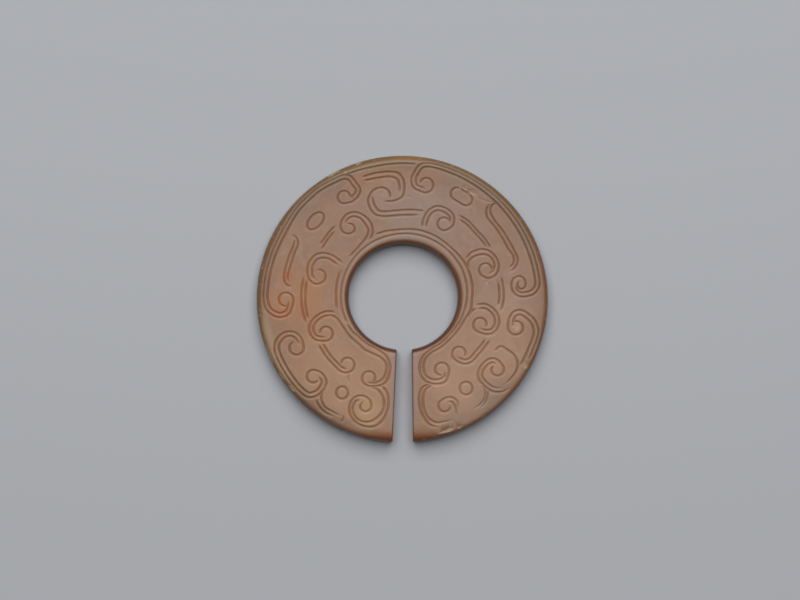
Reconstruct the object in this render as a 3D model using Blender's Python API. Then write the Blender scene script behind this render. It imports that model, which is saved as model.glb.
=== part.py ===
"""A jade slit ring: a flat ring carved from one stone, open on one side.

Metres, +Z up. The ring lies flat on its underside, with its slit towards -Y
and the origin under the middle of the disc. Everything down to the last
function is laid out in millimetres and scaled once, when the mesh is made.
"""

from math import atan2, cos, pi, radians, sin, sqrt

import bmesh
import bpy
import numpy as np
from mathutils import Vector
from mathutils.geometry import delaunay_2d_cdt

MM = 0.001

# The blank, in millimetres. The disc and the bore are slightly oval, as hand drilled ones are.
DISC = (26.1, 25.7)
BORE_CENTRE = (0.15, 0.38)
BORE = (9.8, 9.5)
THICKNESS = 3.6

# The slit: its middle and half width where it leaves the bore and where it leaves the disc.
SLIT_INNER = {"y": -9.2, "middle": 0.35, "half": 1.35}
SLIT_OUTER = {"y": -25.5, "middle": 0.08, "half": 1.82}
CORNER = 0.4

# Rounded edges as (how far in, how far down); the underside is finished plainer.
TOP_EDGE = {"disc": (0.62, 1.5), "bore": (0.55, 1.1), "slit": (0.25, 0.3)}
UNDER_EDGE = {"disc": (0.7, 0.9), "bore": (0.5, 0.7), "slit": (0.25, 0.3)}
TOP_TURNS = (90, 60, 30, 0)
UNDER_TURNS = (-45, -90)

# The wheel cut lines. A line fades out over CUT_FADE at its ends, or over LONG_FADE where it
# is worn, and a ribbon is two lines RIBBON apart.
CUT_HALF_WIDTH = 0.2
CUT_DEPTH = 0.22
CUT_FADE = 0.7
LONG_FADE = 1.5
RIBBON = 0.78
CENTRE = (0.0, 0.0)

# How finely the lines are drawn: degrees between the points of an arc, samples between two
# given points, the spacing that they are evened out to, and every how many of those the twin
# line of a ribbon keeps.
ARC_STEP = 27
CURVE_SAMPLES = 12
EVEN_SPACING = 0.25
TWIN_STRIDE = 4

# How coarsely a groove follows its line: its longest piece and its sharpest turn, in degrees.
LONGEST_STEP = 2.4
SHARPEST_TURN = 27

# How many points each stretch of the outline gets.
DISC_POINTS = 97
BORE_POINTS = 61
SLIT_POINTS = 9

# Points closer than this are one point when the top is divided into faces, and the
# second is how far apart two copies of one point may end up through rounding.
WELD = 0.02
SAME_POINT = 0.0004

JADE = (0.30, 0.19, 0.125, 1.0)
POLISH = 0.35
SMOOTH_UP_TO = 30


# ---------------------------------------------------------------- outline


def slit_x(side, y, inset):
    """Where one wall of the slit stands at y; side is -1 for left, 1 for right."""
    t = (y - SLIT_INNER["y"]) / (SLIT_OUTER["y"] - SLIT_INNER["y"])
    middle = SLIT_INNER["middle"] * (1 - t) + SLIT_OUTER["middle"] * t
    half = SLIT_INNER["half"] * (1 - t) + SLIT_OUTER["half"] * t
    return middle + side * (half + inset)


def slit_corner(side, inset, centre, axes):
    """Where a slit wall meets an oval below the oval's centre."""
    y = centre[1] - axes[1]
    for _ in range(4):
        x = slit_x(side, y, inset)
        y = centre[1] - axes[1] * sqrt(1 - ((x - centre[0]) / axes[0]) ** 2)
    return slit_x(side, y, inset), y


def oval_between(first, last, centre, axes, count, turn):
    """Points on an oval from one corner round to another, clear of both corners."""
    start = atan2((first[1] - centre[1]) / axes[1], (first[0] - centre[0]) / axes[0])
    end = atan2((last[1] - centre[1]) / axes[1], (last[0] - centre[0]) / axes[0])
    clear = turn * CORNER / axes[0]
    sweep = (end - start) % (turn * 2 * pi) - 2 * clear
    angles = [start + clear + sweep * i / (count - 1) for i in range(count)]
    return [(centre[0] + axes[0] * cos(a), centre[1] + axes[1] * sin(a)) for a in angles]


def rounded(corner, before, after):
    """A small curve that takes the place of a corner between two points."""
    curve = []
    for t in (0.25, 0.5, 0.75):
        shares = ((1 - t) ** 2, 2 * t * (1 - t), t * t)
        curve.append(tuple(np.dot(shares, (before, corner, after))))
    return curve


def slit_wall(side, start, end, inset):
    """Points along a slit wall from one y to another, clear of its corners."""
    step = CORNER if end > start else -CORNER
    gaps = SLIT_POINTS - 1
    heights = [start + step + (end - start - 2 * step) * i / gaps for i in range(SLIT_POINTS)]
    return [(slit_x(side, y, inset), y) for y in heights]


def ring_level(edges, turn, height):
    """One closed line round the ring on its rounded edges, anticlockwise from the right horn.

    turn goes from 90 degrees on the top face, past 0 on the side, to -90 under it.
    """
    inset = {name: run * (1 - cos(radians(turn))) for name, (run, _) in edges.items()}
    drop = {name: fall * (1 - abs(sin(radians(turn)))) for name, (_, fall) in edges.items()}
    disc = tuple(a - inset["disc"] for a in DISC)
    bore = tuple(a + inset["bore"] for a in BORE)
    foot = {side: slit_corner(side, inset["slit"], CENTRE, disc) for side in (-1, 1)}
    neck = {side: slit_corner(side, inset["slit"], BORE_CENTRE, bore) for side in (-1, 1)}

    stretches = [
        (oval_between(foot[1], foot[-1], CENTRE, disc, DISC_POINTS, 1), "disc", foot[-1]),
        (slit_wall(-1, foot[-1][1], neck[-1][1], inset["slit"]), "slit", neck[-1]),
        (oval_between(neck[-1], neck[1], BORE_CENTRE, bore, BORE_POINTS, -1), "bore", neck[1]),
        (slit_wall(1, neck[1][1], foot[1][1], inset["slit"]), "slit", foot[1]),
    ]
    level = []
    for i, (points, edge, corner) in enumerate(stretches):
        following, next_edge, _ = stretches[(i + 1) % len(stretches)]
        level += [(*p, drop[edge]) for p in points]
        between = (drop[edge] + drop[next_edge]) / 2
        level += [(*p, between) for p in rounded(corner, points[-1], following[0])]
    sign = -1 if height > 0 else 1
    return [(x, y, height + sign * fall) for x, y, fall in level]


# ---------------------------------------------------------------- scroll lines


def arc(centre, start_radius, end_radius, start, end, step=ARC_STEP):
    """Points of a spiral about a centre, between two directions in degrees."""
    count = max(2, round(abs(end - start) / step))
    points = []
    for i in range(count + 1):
        t = i / count
        angle = radians(start + (end - start) * t)
        radius = start_radius + (end_radius - start_radius) * t
        points.append((centre[0] + radius * cos(angle), centre[1] + radius * sin(angle)))
    return points


def smooth(points):
    """An even run of points along a smooth curve through the given ones."""
    p = np.array(points, float)
    p = np.vstack([2 * p[0] - p[1], p, 2 * p[-1] - p[-2]])
    curve = []
    for a, b, c, d in zip(p, p[1:], p[2:], p[3:]):
        t1 = np.linalg.norm(b - a) ** 0.5
        t2 = t1 + np.linalg.norm(c - b) ** 0.5
        t3 = t2 + np.linalg.norm(d - c) ** 0.5
        for t in np.linspace(t1, t2, CURVE_SAMPLES, endpoint=False):
            ab = a + (b - a) * t / t1
            bc = b + (c - b) * (t - t1) / (t2 - t1)
            cd = c + (d - c) * (t - t2) / (t3 - t2)
            abc = ab + (bc - ab) * t / t2
            bcd = bc + (cd - bc) * (t - t1) / (t3 - t1)
            curve.append(abc + (bcd - abc) * (t - t1) / (t2 - t1))
    curve = np.array([*curve, p[-2]])
    run = run_along(curve)
    even = np.linspace(0, run[-1], max(2, round(run[-1] / EVEN_SPACING)) + 1)
    return np.c_[np.interp(even, run, curve[:, 0]), np.interp(even, run, curve[:, 1])]


def run_along(line):
    """The distance of each point of a line from its start."""
    return np.r_[0, np.cumsum(np.linalg.norm(np.diff(line, axis=0), axis=1))]


def normals(line):
    """The direction to the left of a line at each of its points."""
    along = np.gradient(line, axis=0)
    along /= np.linalg.norm(along, axis=1)[:, None]
    return np.c_[-along[:, 1], along[:, 0]]


class Carving:
    """The cut lines of the top face, each with how far it fades in and out."""

    def __init__(self):
        self.cuts = []

    def cut(self, points, fade=(CUT_FADE, CUT_FADE), depth=1.0):
        line = smooth(points)
        self.cuts.append((line, fade, depth))
        return line

    def ribbon(self, points, side, short, gap=RIBBON, tail=()):
        """A cut and the twin that runs beside it, short of it by some length at each end."""
        line = self.cut(points)
        run = run_along(line)
        kept = (run >= short[0]) & (run <= run[-1] - short[1])
        twin = (line + side * gap * normals(line))[kept]
        self.cut([*twin[:-1:TWIN_STRIDE], *(tail or [twin[-1]])])

    def roundel(self, centre, axes, tilt=0):
        """A closed oval."""
        c, s = cos(radians(tilt)), sin(radians(tilt))
        corners = [(axes[0] * x, axes[1] * y) for x, y in arc(CENTRE, 1, 1, 0, 360)]
        self.cut([(centre[0] + c * x - s * y, centre[1] + s * x + c * y) for x, y in corners])


def carve_edge_scrolls(carving):
    """The scrolls that grow along the disc's edge, from the left round to the right."""
    # From the curl at nine o'clock, up the edge, to the curl at eleven.
    carving.ribbon(
        [*arc((-20.85, -0.2), 1.1, 1.4, -75, -370), (-19.75, -1.6), (-20.2, -2.65), (-21.4, -3.3),
         (-22.8, -3.15), (-24.1, -2.2), (-24.75, -0.7), *arc(CENTRE, 24.88, 24.68, 177, 150, 13),
         *arc(CENTRE, 24.8, 25.0, 140, 127, 13), (-12.3, 21.45), (-10.6, 22.15), (-9.3, 21.95),
         (-8.3, 20.8), (-7.5, 19.5), (-7.9, 18.3), (-9.1, 17.3),
         *arc((-10.4, 18.15), 1.15, 1.1, -70, -345), (-8.75, 17.75)],
        -1, (6.6, 7.2))
    carving.cut([*arc(CENTRE, 24.4, 24.15, 115, 103, 6), *arc(CENTRE, 24.17, 24.25, 97, 84, 7)])
    # From the curl at three o'clock, up the edge, to the curl at half past twelve.
    carving.ribbon(
        [(21.0, 3.2), (20.6, 2.7), (20.8, 1.95), (21.5, 1.75), (22.0, 2.4), (21.95, 3.2), (21.4, 3.9),
         (20.6, 4.0), (19.8, 3.5), (19.5, 2.5), (19.8, 1.3), (20.7, 0.5), (22, 0.38), (23.5, 0.85),
         (24.4, 2.0), *arc(CENTRE, 24.75, 24.85, 9, 78, 12), (3.4, 24.15), (2.2, 22.8), (1.6, 21.3),
         (2.0, 19.9), *arc((4.2, 20.4), 1.5, 1.05, -125, 175)],
        1, (7.6, 6.1))
    # The long C from the curl at eight o'clock down to the curl at seven.
    carving.ribbon(
        [*arc((-18.95, -8.75), 1.15, 1.35, 113, 375), (-18.1, -7), (-19.4, -5.95), (-21.2, -6.1),
         (-22.6, -7.5), (-22.8, -9), (-22.2, -10.7), (-21.1, -12.76), (-19.7, -14.7), (-18.2, -16.4),
         (-16.6, -17.4), (-15, -17.05), (-13.85, -15.8), (-13.58, -14.6), (-14.4, -13.3),
         *arc((-15.9, -13.95), 1.25, 0.98, 65, 330)],
        1, (6.3, 6.2), 0.82)
    # Its partner at four o'clock, and the scroll under that.
    carving.ribbon(
        [*arc((20.35, -5.1), 1.0, 1.5, 135, -192), (19.1, -3.5), (19.8, -2.4), (21.1, -2.0), (22.6, -2.75),
         (23.8, -4), (24.35, -5.8), (24, -7.5), (23.4, -9), (22.6, -10.9)],
        -1, (7.0, 0.0), 0.85, tail=[(21.5, -11.1), (21.1, -12)])
    carving.ribbon(
        [*arc((16.95, -12.65), 0.95, 1.25, 125, 410), (17.1, -11), (16, -10.65), (14.6, -11.4),
         (13.6, -13), (13.6, -14.2), (14.3, -15.2), (15.3, -16.1), (16.5, -16.62), (18, -16.55),
         (19, -15.95)],
        1, (6.3, 1.2), 0.75)
    carving.cut([(16.5, -9.3), (17.6, -8.5), (18.9, -9.2), (20.1, -10.2), (20.6, -11.5), (20.3, -13),
                 (19.4, -14.2), (18.7, -14.9)])
    # The slim leaves inside the edge lines, left and right.
    carving.cut([(-19.7, 11.5), (-18.85, 10.8), (-18.65, 9.7), (-19.3, 8), (-20, 5.8), (-20.5, 4),
                 (-20.4, 3)], depth=0.8)
    carving.cut([(-19.25, 10.6), (-19.4, 9.7), (-20.3, 7.4), (-21, 5), (-21.15, 3.6), (-20.7, 2.5),
                 (-19.7, 2.25)], depth=0.8)
    carving.cut([(17.3, 17.15), (16.4, 17.0), (15.85, 16.4), (15.75, 15.5), (16.5, 14), (17.9, 12.2),
                 (19.2, 10.1), (20.2, 8.2), (20.65, 7.1), (20.4, 6), (19.45, 4.9)])
    carving.cut([(15.5, 16.9), (15, 15.8), (15.2, 14.5), (16.5, 12.9), (17.8, 11), (18.9, 9), (19.85, 7.5),
                 (19.9, 6.5), (19.2, 5.5)])


def carve_bore_lines(carving):
    """The pair of lines that rings the bore and curls into each horn."""
    carving.cut(
        [*arc(BORE_CENTRE, 11.1, 11.2, 205, 100, 15), *arc(BORE_CENTRE, 11.3, 11.6, 85, 25, 15),
         *arc(BORE_CENTRE, 11.55, 11.45, 14, 2, 12), *arc(BORE_CENTRE, 11.25, 10.75, -10, -38, 14),
         (7, -7.85), (5, -9.1), (3.8, -10.2), (3.15, -11.6), (3.2, -13.3), (4.1, -14.7), (5.5, -15.2),
         (6.6, -15.2), (7.7, -14.8), *arc((6.95, -12.7), 1.45, 0.9, -20, 285)])
    carving.cut(
        [(-4.8, 11.5), (-3, 12.05), (0, 12.4), (2, 12.4), (4, 12), (6, 11.15), (8, 9.75), (10, 7.9),
         (11.4, 6), (12.2, 4), (12.55, 2), (12.45, 0), (12.2, -2), (11.3, -3.5), (10.1, -5.4),
         (9, -6.75), (7, -8.6), (5, -9.8), (4, -11), (3.8, -12.4), (4.3, -13.8), (5.6, -14.45),
         (6.8, -14.3), (7.5, -13.8), (7.6, -13)])
    carving.cut(
        [*arc(BORE_CENTRE, 11.1, 11.0, 206, 215, 9), (-8, -6.6), (-6.4, -8), (-4.2, -9.2), (-3, -10.1),
         (-2.3, -11.4), (-2.2, -12.7), (-2.6, -14.3), (-3.4, -15.25), (-4.6, -15.6),
         *arc((-5.9, -14.15), 1.4, 0.95, -100, -420)])
    carving.cut(
        [(-6.2, -14.95), (-4.7, -15.0), (-3.4, -14.2), (-2.85, -12.7), (-3, -11.4), (-3.9, -10.5),
         (-5, -9.95), (-6.7, -9.1), (-7.8, -8.1), (-9.1, -7), (-10, -5.9), (-10.8, -4.7),
         (-11.6, -3.6), (-12.5, -3.05), (-13.4, -2.95)])
    carving.cut([(-11.2, 4.75), (-11.65, 3), (-11.85, 0.5), (-11.7, -1.9)])
    carving.cut([(13.2, -1.75), (12.4, -2.2), (11.4, -3.4)])


def carve_upper_scrolls(carving):
    """The free scrolls, leaves and roundels of the upper half."""
    # Under the top edge: one ribbon hooks down and the next one rises to meet it.
    carving.cut([(-7.2, 21.75), (-5, 22.4), (-2, 22.7), (-0.6, 22.35), (0.2, 21.2), (0.35, 19.6), (0, 18.3),
                 (-1.5, 17.5), (-3.2, 17.45)])
    carving.cut([(-6.9, 21.1), (-4, 21.65), (-2, 21.8), (-0.8, 21.2), (-0.5, 19.8), (-0.5, 19.05)])
    carving.cut([(-2.1, 17.9), (-2.4, 19.2), (-3.4, 19.85), (-5, 19.5), (-6.1, 17.8), (-5.8, 16.3),
                 (-4.9, 15.1), (-3.6, 14.75), (0, 14.95), (2.8, 15.0)])
    carving.cut([(-5.4, 18.3), (-4.95, 16.7), (-4.1, 15.7), (-3, 15.6), (0, 15.85), (2, 15.9), (3.9, 15.7)])
    # The scrolls left and right of it.
    carving.cut([(-5.8, 10.5), (-5.3, 12), (-5.6, 13.5), (-6.8, 14.8), (-8.3, 15.45), (-9.8, 15.15),
                 (-10.8, 14), (-11.05, 12.9), (-10.6, 11.95), (-9.5, 11.6), (-8.55, 12.2), (-8.8, 13.2),
                 (-9.9, 13.5)])
    carving.cut([(-9.5, 7.5), (-7.8, 9.3), (-6.5, 10.9), (-6.05, 12.2), (-6.6, 13.3), (-7.6, 14.4),
                 (-8.8, 14.7), (-9.8, 14.2), (-10.2, 13.5)])
    carving.ribbon(
        [(3.55, 12.75), (3.7, 14), (4.7, 15.8), (6.2, 16.55), (7.9, 16.1), (9.1, 15), (9.25, 13.8),
         (8.9, 12.9), *arc((7.45, 13.4), 1.2, 1.1, -60, -345)],
        -1, (0.0, 6.8), 0.75)
    # The scrolls that turn towards the middle of each side.
    carving.ribbon(
        [(-10.7, 6.4), (-12.3, 7.65), (-14, 8.15), (-15.6, 7.75), (-16.75, 6.3), (-16.95, 4.4), (-16.55, 3.3),
         (-15.5, 2.6), *arc((-14.95, 4.1), 1.35, 1.05, -75, 110)],
        1, (0.3, 5.2), 0.85)
    carving.cut([(11.3, 7.1), (12.4, 8.3), (14.4, 8.85), (15.9, 8.3), (17, 6.9), (17.25, 5.6), (16.7, 4.3),
                 (15.4, 3.65), *arc((14.95, 5.2), 1.3, 0.98, -115, -375)])
    carving.cut([(11.9, 5.4), (11.75, 6.4), (12.3, 7.2), (13.5, 7.8), (14.8, 7.9), (15.8, 7.4),
                 (16.45, 6.2), (16.2, 5.1), (15.5, 4.5)])
    # Short pairs of lines between the scrolls.
    carving.ribbon([(-11.9, 13.1), (-13, 12.1), (-14.1, 10.6), (-14.7, 9.7)], 1, (0.9, 0.2), 0.75)
    carving.ribbon([(10.2, 14.95), (12, 13.7), (13.9, 11.65), (15.8, 9.25)], -1, (0.4, 0.6), 0.68)
    carving.cut([(-17.6, 3.9), (-17.95, 2), (-18.05, 0), (-17.8, -2.2), (-17.2, -4.4)])
    carving.cut([(-17.1, 3.3), (-17.3, 1), (-17.3, -1), (-16.85, -3.6)])
    carving.ribbon([(17.7, 3.9), (18.05, 2), (18.1, 0), (17.7, -2.1)], -1, (0.6, 0.7))
    carving.roundel((-15.5, 13.9), (1.85, 1.08), 47)
    carving.cut([*arc((9.75, 18.75), 1.1, 1.1, 60, 240, 20), *arc((11.4, 17.75), 1.1, 1.1, 240, 420, 20),
                 (10.3, 19.7)])


def carve_lower_scrolls(carving):
    """The free scrolls and roundels of the lower half and the two horns."""
    carving.ribbon(
        [(-12.05, -2.4), (-13, -2.25), (-14.1, -2.4), (-15.9, -3.6), (-16.65, -5.1), (-16.4, -6.4),
         (-15.5, -7.35), *arc((-13.7, -6.15), 1.4, 0.98, -95, 190)],
        1, (0.4, 5.8), 0.75)
    carving.ribbon(
        [(13.2, -1.05), (14, -0.95), (15, -1.0), (16.4, -1.9), (17.2, -3.2), (17.25, -4.6), (16.5, -5.9),
         (15.3, -6.35), *arc((14, -4.6), 1.4, 1.0, -112, -395)],
        -1, (0.2, 6.1), 0.75)
    # The hooks below them.
    carving.ribbon(
        [(-14.95, -8.2), (-13.5, -10.5), (-12.2, -11.9), (-11, -13),
         *arc((-9.9, -11.75), 1.48, 1.02, -90, 180)],
        1, (0.2, 5.8), 0.75)
    carving.cut([(-9.4, -13.2), (-9.65, -14), (-9.2, -15.3)], (CUT_FADE, LONG_FADE), 0.5)
    carving.ribbon(
        [(15.6, -7.35), (14.8, -8.6), (13.6, -10), (12.5, -11.2), (11.3, -11.65), (10.2, -11.4),
         *arc((10.2, -9.8), 1.35, 1.05, -130, -395)],
        -1, (0.2, 5.6), 0.75)
    # The big C in each horn; on the right one the lines are worn away towards the edge.
    carving.cut([(-3.7, -15.5), (-2.75, -16.7), (-2.45, -18.6), (-2.8, -20.3), (-3.7, -21.9), (-5.1, -22.8),
                 (-7, -22.7), (-8.6, -21.75), (-9.45, -20.2), (-9.25, -18.5), (-8.4, -17.55), (-7.5, -17.3),
                 (-6.6, -17.5), (-5.85, -18.1), (-5.55, -19), (-5.85, -19.85), (-6.7, -20.15), (-7.4, -19.7),
                 (-7.45, -18.9), (-7, -18.5)])
    carving.cut([(-5.8, -15.55), (-4.2, -16.45), (-3.4, -17.75), (-3.3, -19.35), (-4.2, -20.95),
                 (-5.8, -21.95), (-7.6, -21.75), (-8.6, -20.7), (-8.85, -19.35), (-8.3, -18.3), (-7.6, -18)])
    carving.cut([(4.9, -15.2), (3.6, -15.9), (3, -17.4), (3.1, -19.2), (3.8, -21.1), (4.8, -22.4),
                 (6.2, -22.95)], (CUT_FADE, LONG_FADE))
    carving.cut([(5.2, -15.4), (4.1, -16.3), (3.7, -18), (4, -20), (4.9, -21.5), (6.2, -22.1), (7.6, -21.9),
                 (9, -21.6)], (CUT_FADE, 3.5))
    carving.cut([(9.95, -19.6), (9.85, -18.35), (9, -17.68), (8.1, -17.6),
                 *arc((7.6, -19.15), 1.2, 0.95, 110, 365)], (2.0, CUT_FADE))
    carving.cut([(8.2, -18.4), (8.8, -18.4), (9.5, -19.3), (9.75, -20.8)], (CUT_FADE, LONG_FADE))
    # The pairs that run from the scrolls out to the edge.
    carving.cut([(-15.3, -17.8), (-14.7, -19.1), (-13.6, -20.2), (-12.4, -20.85)], (CUT_FADE, LONG_FADE))
    carving.cut([(-14.05, -15.9), (-14.45, -17.5), (-13.8, -19.2), (-12.5, -20.0), (-11, -20.9)],
                (CUT_FADE, 2.5))
    carving.cut([(14.2, -15.15), (14.75, -16.5), (14.5, -18), (13.5, -19.1), (12.7, -19.6)],
                (CUT_FADE, LONG_FADE))
    carving.cut([(15.25, -16.1), (15.3, -17), (14.9, -18.6), (14.1, -19.4)], (CUT_FADE, LONG_FADE))
    carving.roundel((-10.75, -16.8), (1.05, 1.1))
    carving.roundel((11.4, -16.0), (1.12, 1.15))


# ---------------------------------------------------------------- cut lines as geometry


def thinned(line, fade):
    """The points of an even line that a faceted groove needs, fewer where it runs straight."""
    run = run_along(line)
    along = np.diff(line, axis=0)
    heading = np.unwrap(np.arctan2(along[:, 1], along[:, 0]))
    kept = [0]
    for i in range(1, len(line) - 1):
        turned = abs(heading[i] - heading[kept[-1]]) > radians(SHARPEST_TURN)
        passed_fade = run[kept[-1]] < fade[0] <= run[i] or run[kept[-1]] < run[-1] - fade[1] <= run[i]
        if turned or passed_fade or run[i] - run[kept[-1]] > LONGEST_STEP:
            if run[-1] - run[i] > CUT_HALF_WIDTH:
                kept.append(i)
    return [*kept, len(line) - 1]


def groove(cut):
    """A cut line as three lines: its bottom and its two lips, meeting at both ends."""
    line, fade, depth = cut
    run = run_along(line)
    strength = np.minimum(1, np.minimum(run / fade[0], (run[-1] - run) / fade[1]))
    across = normals(line) * (CUT_HALF_WIDTH * np.sqrt(np.maximum(strength, 0)))[:, None]
    kept = thinned(line, fade)
    bottom = np.c_[line, CUT_DEPTH * depth * strength][kept]
    left, right = (line + across)[kept], (line - across)[kept]
    return bottom, left, right


def depth_at(points, bottoms):
    """How deep the deepest groove is at each point."""
    deepest = np.zeros(len(points))
    for bottom in bottoms:
        for start, end in zip(bottom, bottom[1:]):
            span = end[:2] - start[:2]
            t = np.clip((points - start[:2]) @ span / (span @ span), 0, 1)
            away = np.linalg.norm(points - (start[:2] + t[:, None] * span), axis=1)
            floor = start[2] + t * (end[2] - start[2])
            deepest = np.maximum(deepest, floor * np.clip(1 - away / CUT_HALF_WIDTH, 0, 1))
    deepest[deepest < WELD / 2] = 0
    return deepest


def divided(outline, lines=()):
    """Triangles that fill an outline and keep every given line as edges."""
    points, edges = [], []
    for line, closed in [(outline, True), *((line, False) for line in lines)]:
        first = len(points)
        points += [Vector((p[0], p[1])) for p in line]
        ids = list(range(first, len(points)))
        edges += list(zip(ids, ids[1:] + ids[:1] if closed else ids[1:]))
    inside_only = 1
    spots, _, faces, *_ = delaunay_2d_cdt(points, edges, [], inside_only, WELD)
    return np.array([(p.x, p.y) for p in spots]), faces


# ---------------------------------------------------------------- solid


def add_sheet(bm, spots, faces, heights):
    """A face of the ring, one height to each spot."""
    verts = [bm.verts.new((x * MM, y * MM, z * MM)) for (x, y), z in zip(spots, heights)]
    for face in faces:
        bm.faces.new([verts[i] for i in face])


def add_edge_band(bm, levels):
    """The rounded wall that joins one level of the outline to the next."""
    rows = [[bm.verts.new(Vector(p) * MM) for p in level] for level in levels]
    for upper, lower in zip(rows, rows[1:]):
        for i in range(len(upper)):
            bm.faces.new((upper[i - 1], lower[i - 1], lower[i], upper[i]))


def slit_ring_mesh():
    """The whole ring as one closed mesh."""
    levels = [ring_level(TOP_EDGE, turn, THICKNESS) for turn in TOP_TURNS]
    levels += [ring_level(UNDER_EDGE, turn, 0) for turn in (0, *UNDER_TURNS)]

    carving = Carving()
    carve_edge_scrolls(carving)
    carve_bore_lines(carving)
    carve_upper_scrolls(carving)
    carve_lower_scrolls(carving)
    grooves = [groove(cut) for cut in carving.cuts]

    bm = bmesh.new()
    spots, faces = divided(levels[0], [line for three in grooves for line in three])
    cut_depth = depth_at(spots, [bottom for bottom, _, _ in grooves])
    add_sheet(bm, spots, faces, THICKNESS - cut_depth)
    spots, faces = divided(levels[-1])
    add_sheet(bm, spots, faces, np.zeros(len(spots)))
    add_edge_band(bm, levels)

    bmesh.ops.remove_doubles(bm, verts=bm.verts, dist=SAME_POINT * MM)
    bmesh.ops.triangulate(bm, faces=[f for f in bm.faces if len(f.verts) > 3])
    bmesh.ops.recalc_face_normals(bm, faces=bm.faces)
    mesh = bpy.data.meshes.new("slit_ring")
    bm.to_mesh(mesh)
    bm.free()
    return mesh


def jade_material():
    material = bpy.data.materials.new("jade")
    material.use_nodes = True
    shader = material.node_tree.nodes["Principled BSDF"]
    shader.inputs["Base Color"].default_value = JADE
    shader.inputs["Roughness"].default_value = POLISH
    shader.inputs["Metallic"].default_value = 0.0
    return material


def main():
    for thing in list(bpy.data.objects):
        bpy.data.objects.remove(thing, do_unlink=True)
    mesh = slit_ring_mesh()
    mesh.materials.append(jade_material())
    mesh.shade_smooth()
    mesh.set_sharp_from_angle(angle=radians(SMOOTH_UP_TO))
    ring = bpy.data.objects.new("slit_ring", mesh)
    bpy.context.collection.objects.link(ring)
    print("slit_ring:", len(mesh.polygons), "faces")


main()
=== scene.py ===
# %% [markdown]
# # A jade slit ring
#
# The real thing is one flat ring of brown nephrite, ground to shape, drilled
# through the middle, sawn open on one side and polished. Scrolls are cut into
# its upper face with a small grinding wheel, two cuts side by side, so that a
# thin ribbon of stone stands between them.
#
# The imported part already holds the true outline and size. Here a finer copy of
# the stone is made in the same place: its edges are softly rounded, its cuts
# have rounded bottoms, and it has the chips and stains of a very old piece.

# %% Open the part
from collections import Counter
from math import atan2, cos, pi, radians, sin, sqrt

import bmesh
import bpy
import numpy as np
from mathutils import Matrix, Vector
from mathutils.geometry import delaunay_2d_cdt


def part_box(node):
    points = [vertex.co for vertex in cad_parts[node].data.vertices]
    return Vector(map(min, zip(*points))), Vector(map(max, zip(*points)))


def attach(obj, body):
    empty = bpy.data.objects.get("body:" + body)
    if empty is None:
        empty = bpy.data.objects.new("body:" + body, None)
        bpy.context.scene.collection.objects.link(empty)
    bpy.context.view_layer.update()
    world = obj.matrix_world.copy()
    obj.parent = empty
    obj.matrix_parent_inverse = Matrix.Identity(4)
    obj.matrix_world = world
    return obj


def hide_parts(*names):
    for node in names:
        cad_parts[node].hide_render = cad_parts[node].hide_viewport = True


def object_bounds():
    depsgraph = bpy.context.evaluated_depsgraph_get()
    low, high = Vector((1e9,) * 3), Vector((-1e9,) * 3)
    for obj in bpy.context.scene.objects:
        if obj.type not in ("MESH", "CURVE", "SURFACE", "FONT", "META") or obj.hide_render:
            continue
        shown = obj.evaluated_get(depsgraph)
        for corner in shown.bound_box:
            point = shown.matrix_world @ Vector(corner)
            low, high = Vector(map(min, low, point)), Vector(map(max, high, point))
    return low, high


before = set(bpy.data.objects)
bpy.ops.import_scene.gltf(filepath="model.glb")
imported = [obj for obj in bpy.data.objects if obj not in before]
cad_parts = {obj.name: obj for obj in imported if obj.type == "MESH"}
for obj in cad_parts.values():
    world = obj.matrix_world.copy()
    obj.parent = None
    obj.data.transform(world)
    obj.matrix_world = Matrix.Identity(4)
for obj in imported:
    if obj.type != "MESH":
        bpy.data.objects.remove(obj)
CAD_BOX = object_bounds()
LOW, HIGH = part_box("slit_ring")

# %% [markdown]
# ## Working in millimetres
#
# A ring 52 mm wide with cuts half a millimetre wide is easier to lay out in
# millimetres. The disc's two half widths and its thickness come from the part's
# own box. The bore is a smaller oval, a little off the middle. Three helpers turn
# points and faces into a mesh in metres, keep numbers on its points and count
# the edges at which it is not closed.

# %% Millimetres and meshes
MM = 0.001
THICK = (HIGH.z - LOW.z) / MM
MIDDLE = (0.0, 0.0)
DISC = (round(HIGH.x / MM, 2), round(HIGH.y / MM, 2))
BORE_MIDDLE = (0.15, 0.38)
BORE = (9.8, 9.5)


def new_object(name, points, edges=(), faces=()):
    """A mesh object from points in millimetres."""
    mesh = bpy.data.meshes.new(name)
    mesh.from_pydata([tuple(p) for p in np.array(points) * MM], list(edges), list(faces))
    made = bpy.data.objects.new(name, mesh)
    bpy.context.collection.objects.link(made)
    return made


def add_values(thing, name, values):
    """Keeps one number on each point of an object, for nodes to read."""
    kept = thing.data.attributes.new(name, "FLOAT", "POINT")
    kept.data.foreach_set("value", np.array(values, np.float32))


def open_edges(mesh):
    """How many edges do not lie between exactly two faces: none, if the mesh is closed."""
    uses = Counter(edge for face in mesh.polygons for edge in face.edge_keys)
    return sum(count != 2 for count in uses.values())


print("thickness:", round(THICK, 2), "mm; half widths of disc and bore:", DISC, BORE, "mm")

# %% [markdown]
# ## The outline
#
# Seen from above the ring is a C: the oval of the disc, two slit walls and the
# oval of the bore. It could be drawn by hand, but one function can give that
# line at any distance in from the edges. Every call returns the same number of
# points in the same order, so two lines join into a band without more thought.

# %% The outline at any distance in
SLIT_TOP = {"y": -9.2, "middle": 0.35, "half": 1.35}
SLIT_FOOT = {"y": -25.5, "middle": 0.08, "half": 1.82}
CORNER = 0.34
CORNER_STEPS = (0.2, 0.4, 0.6, 0.8)
SPACING = 0.22
DISC_COUNT, BORE_COUNT = (round(2 * pi * axes[0] / SPACING) for axes in (DISC, BORE))
WALL_COUNT = round((DISC[1] - BORE[1]) / SPACING)


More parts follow.
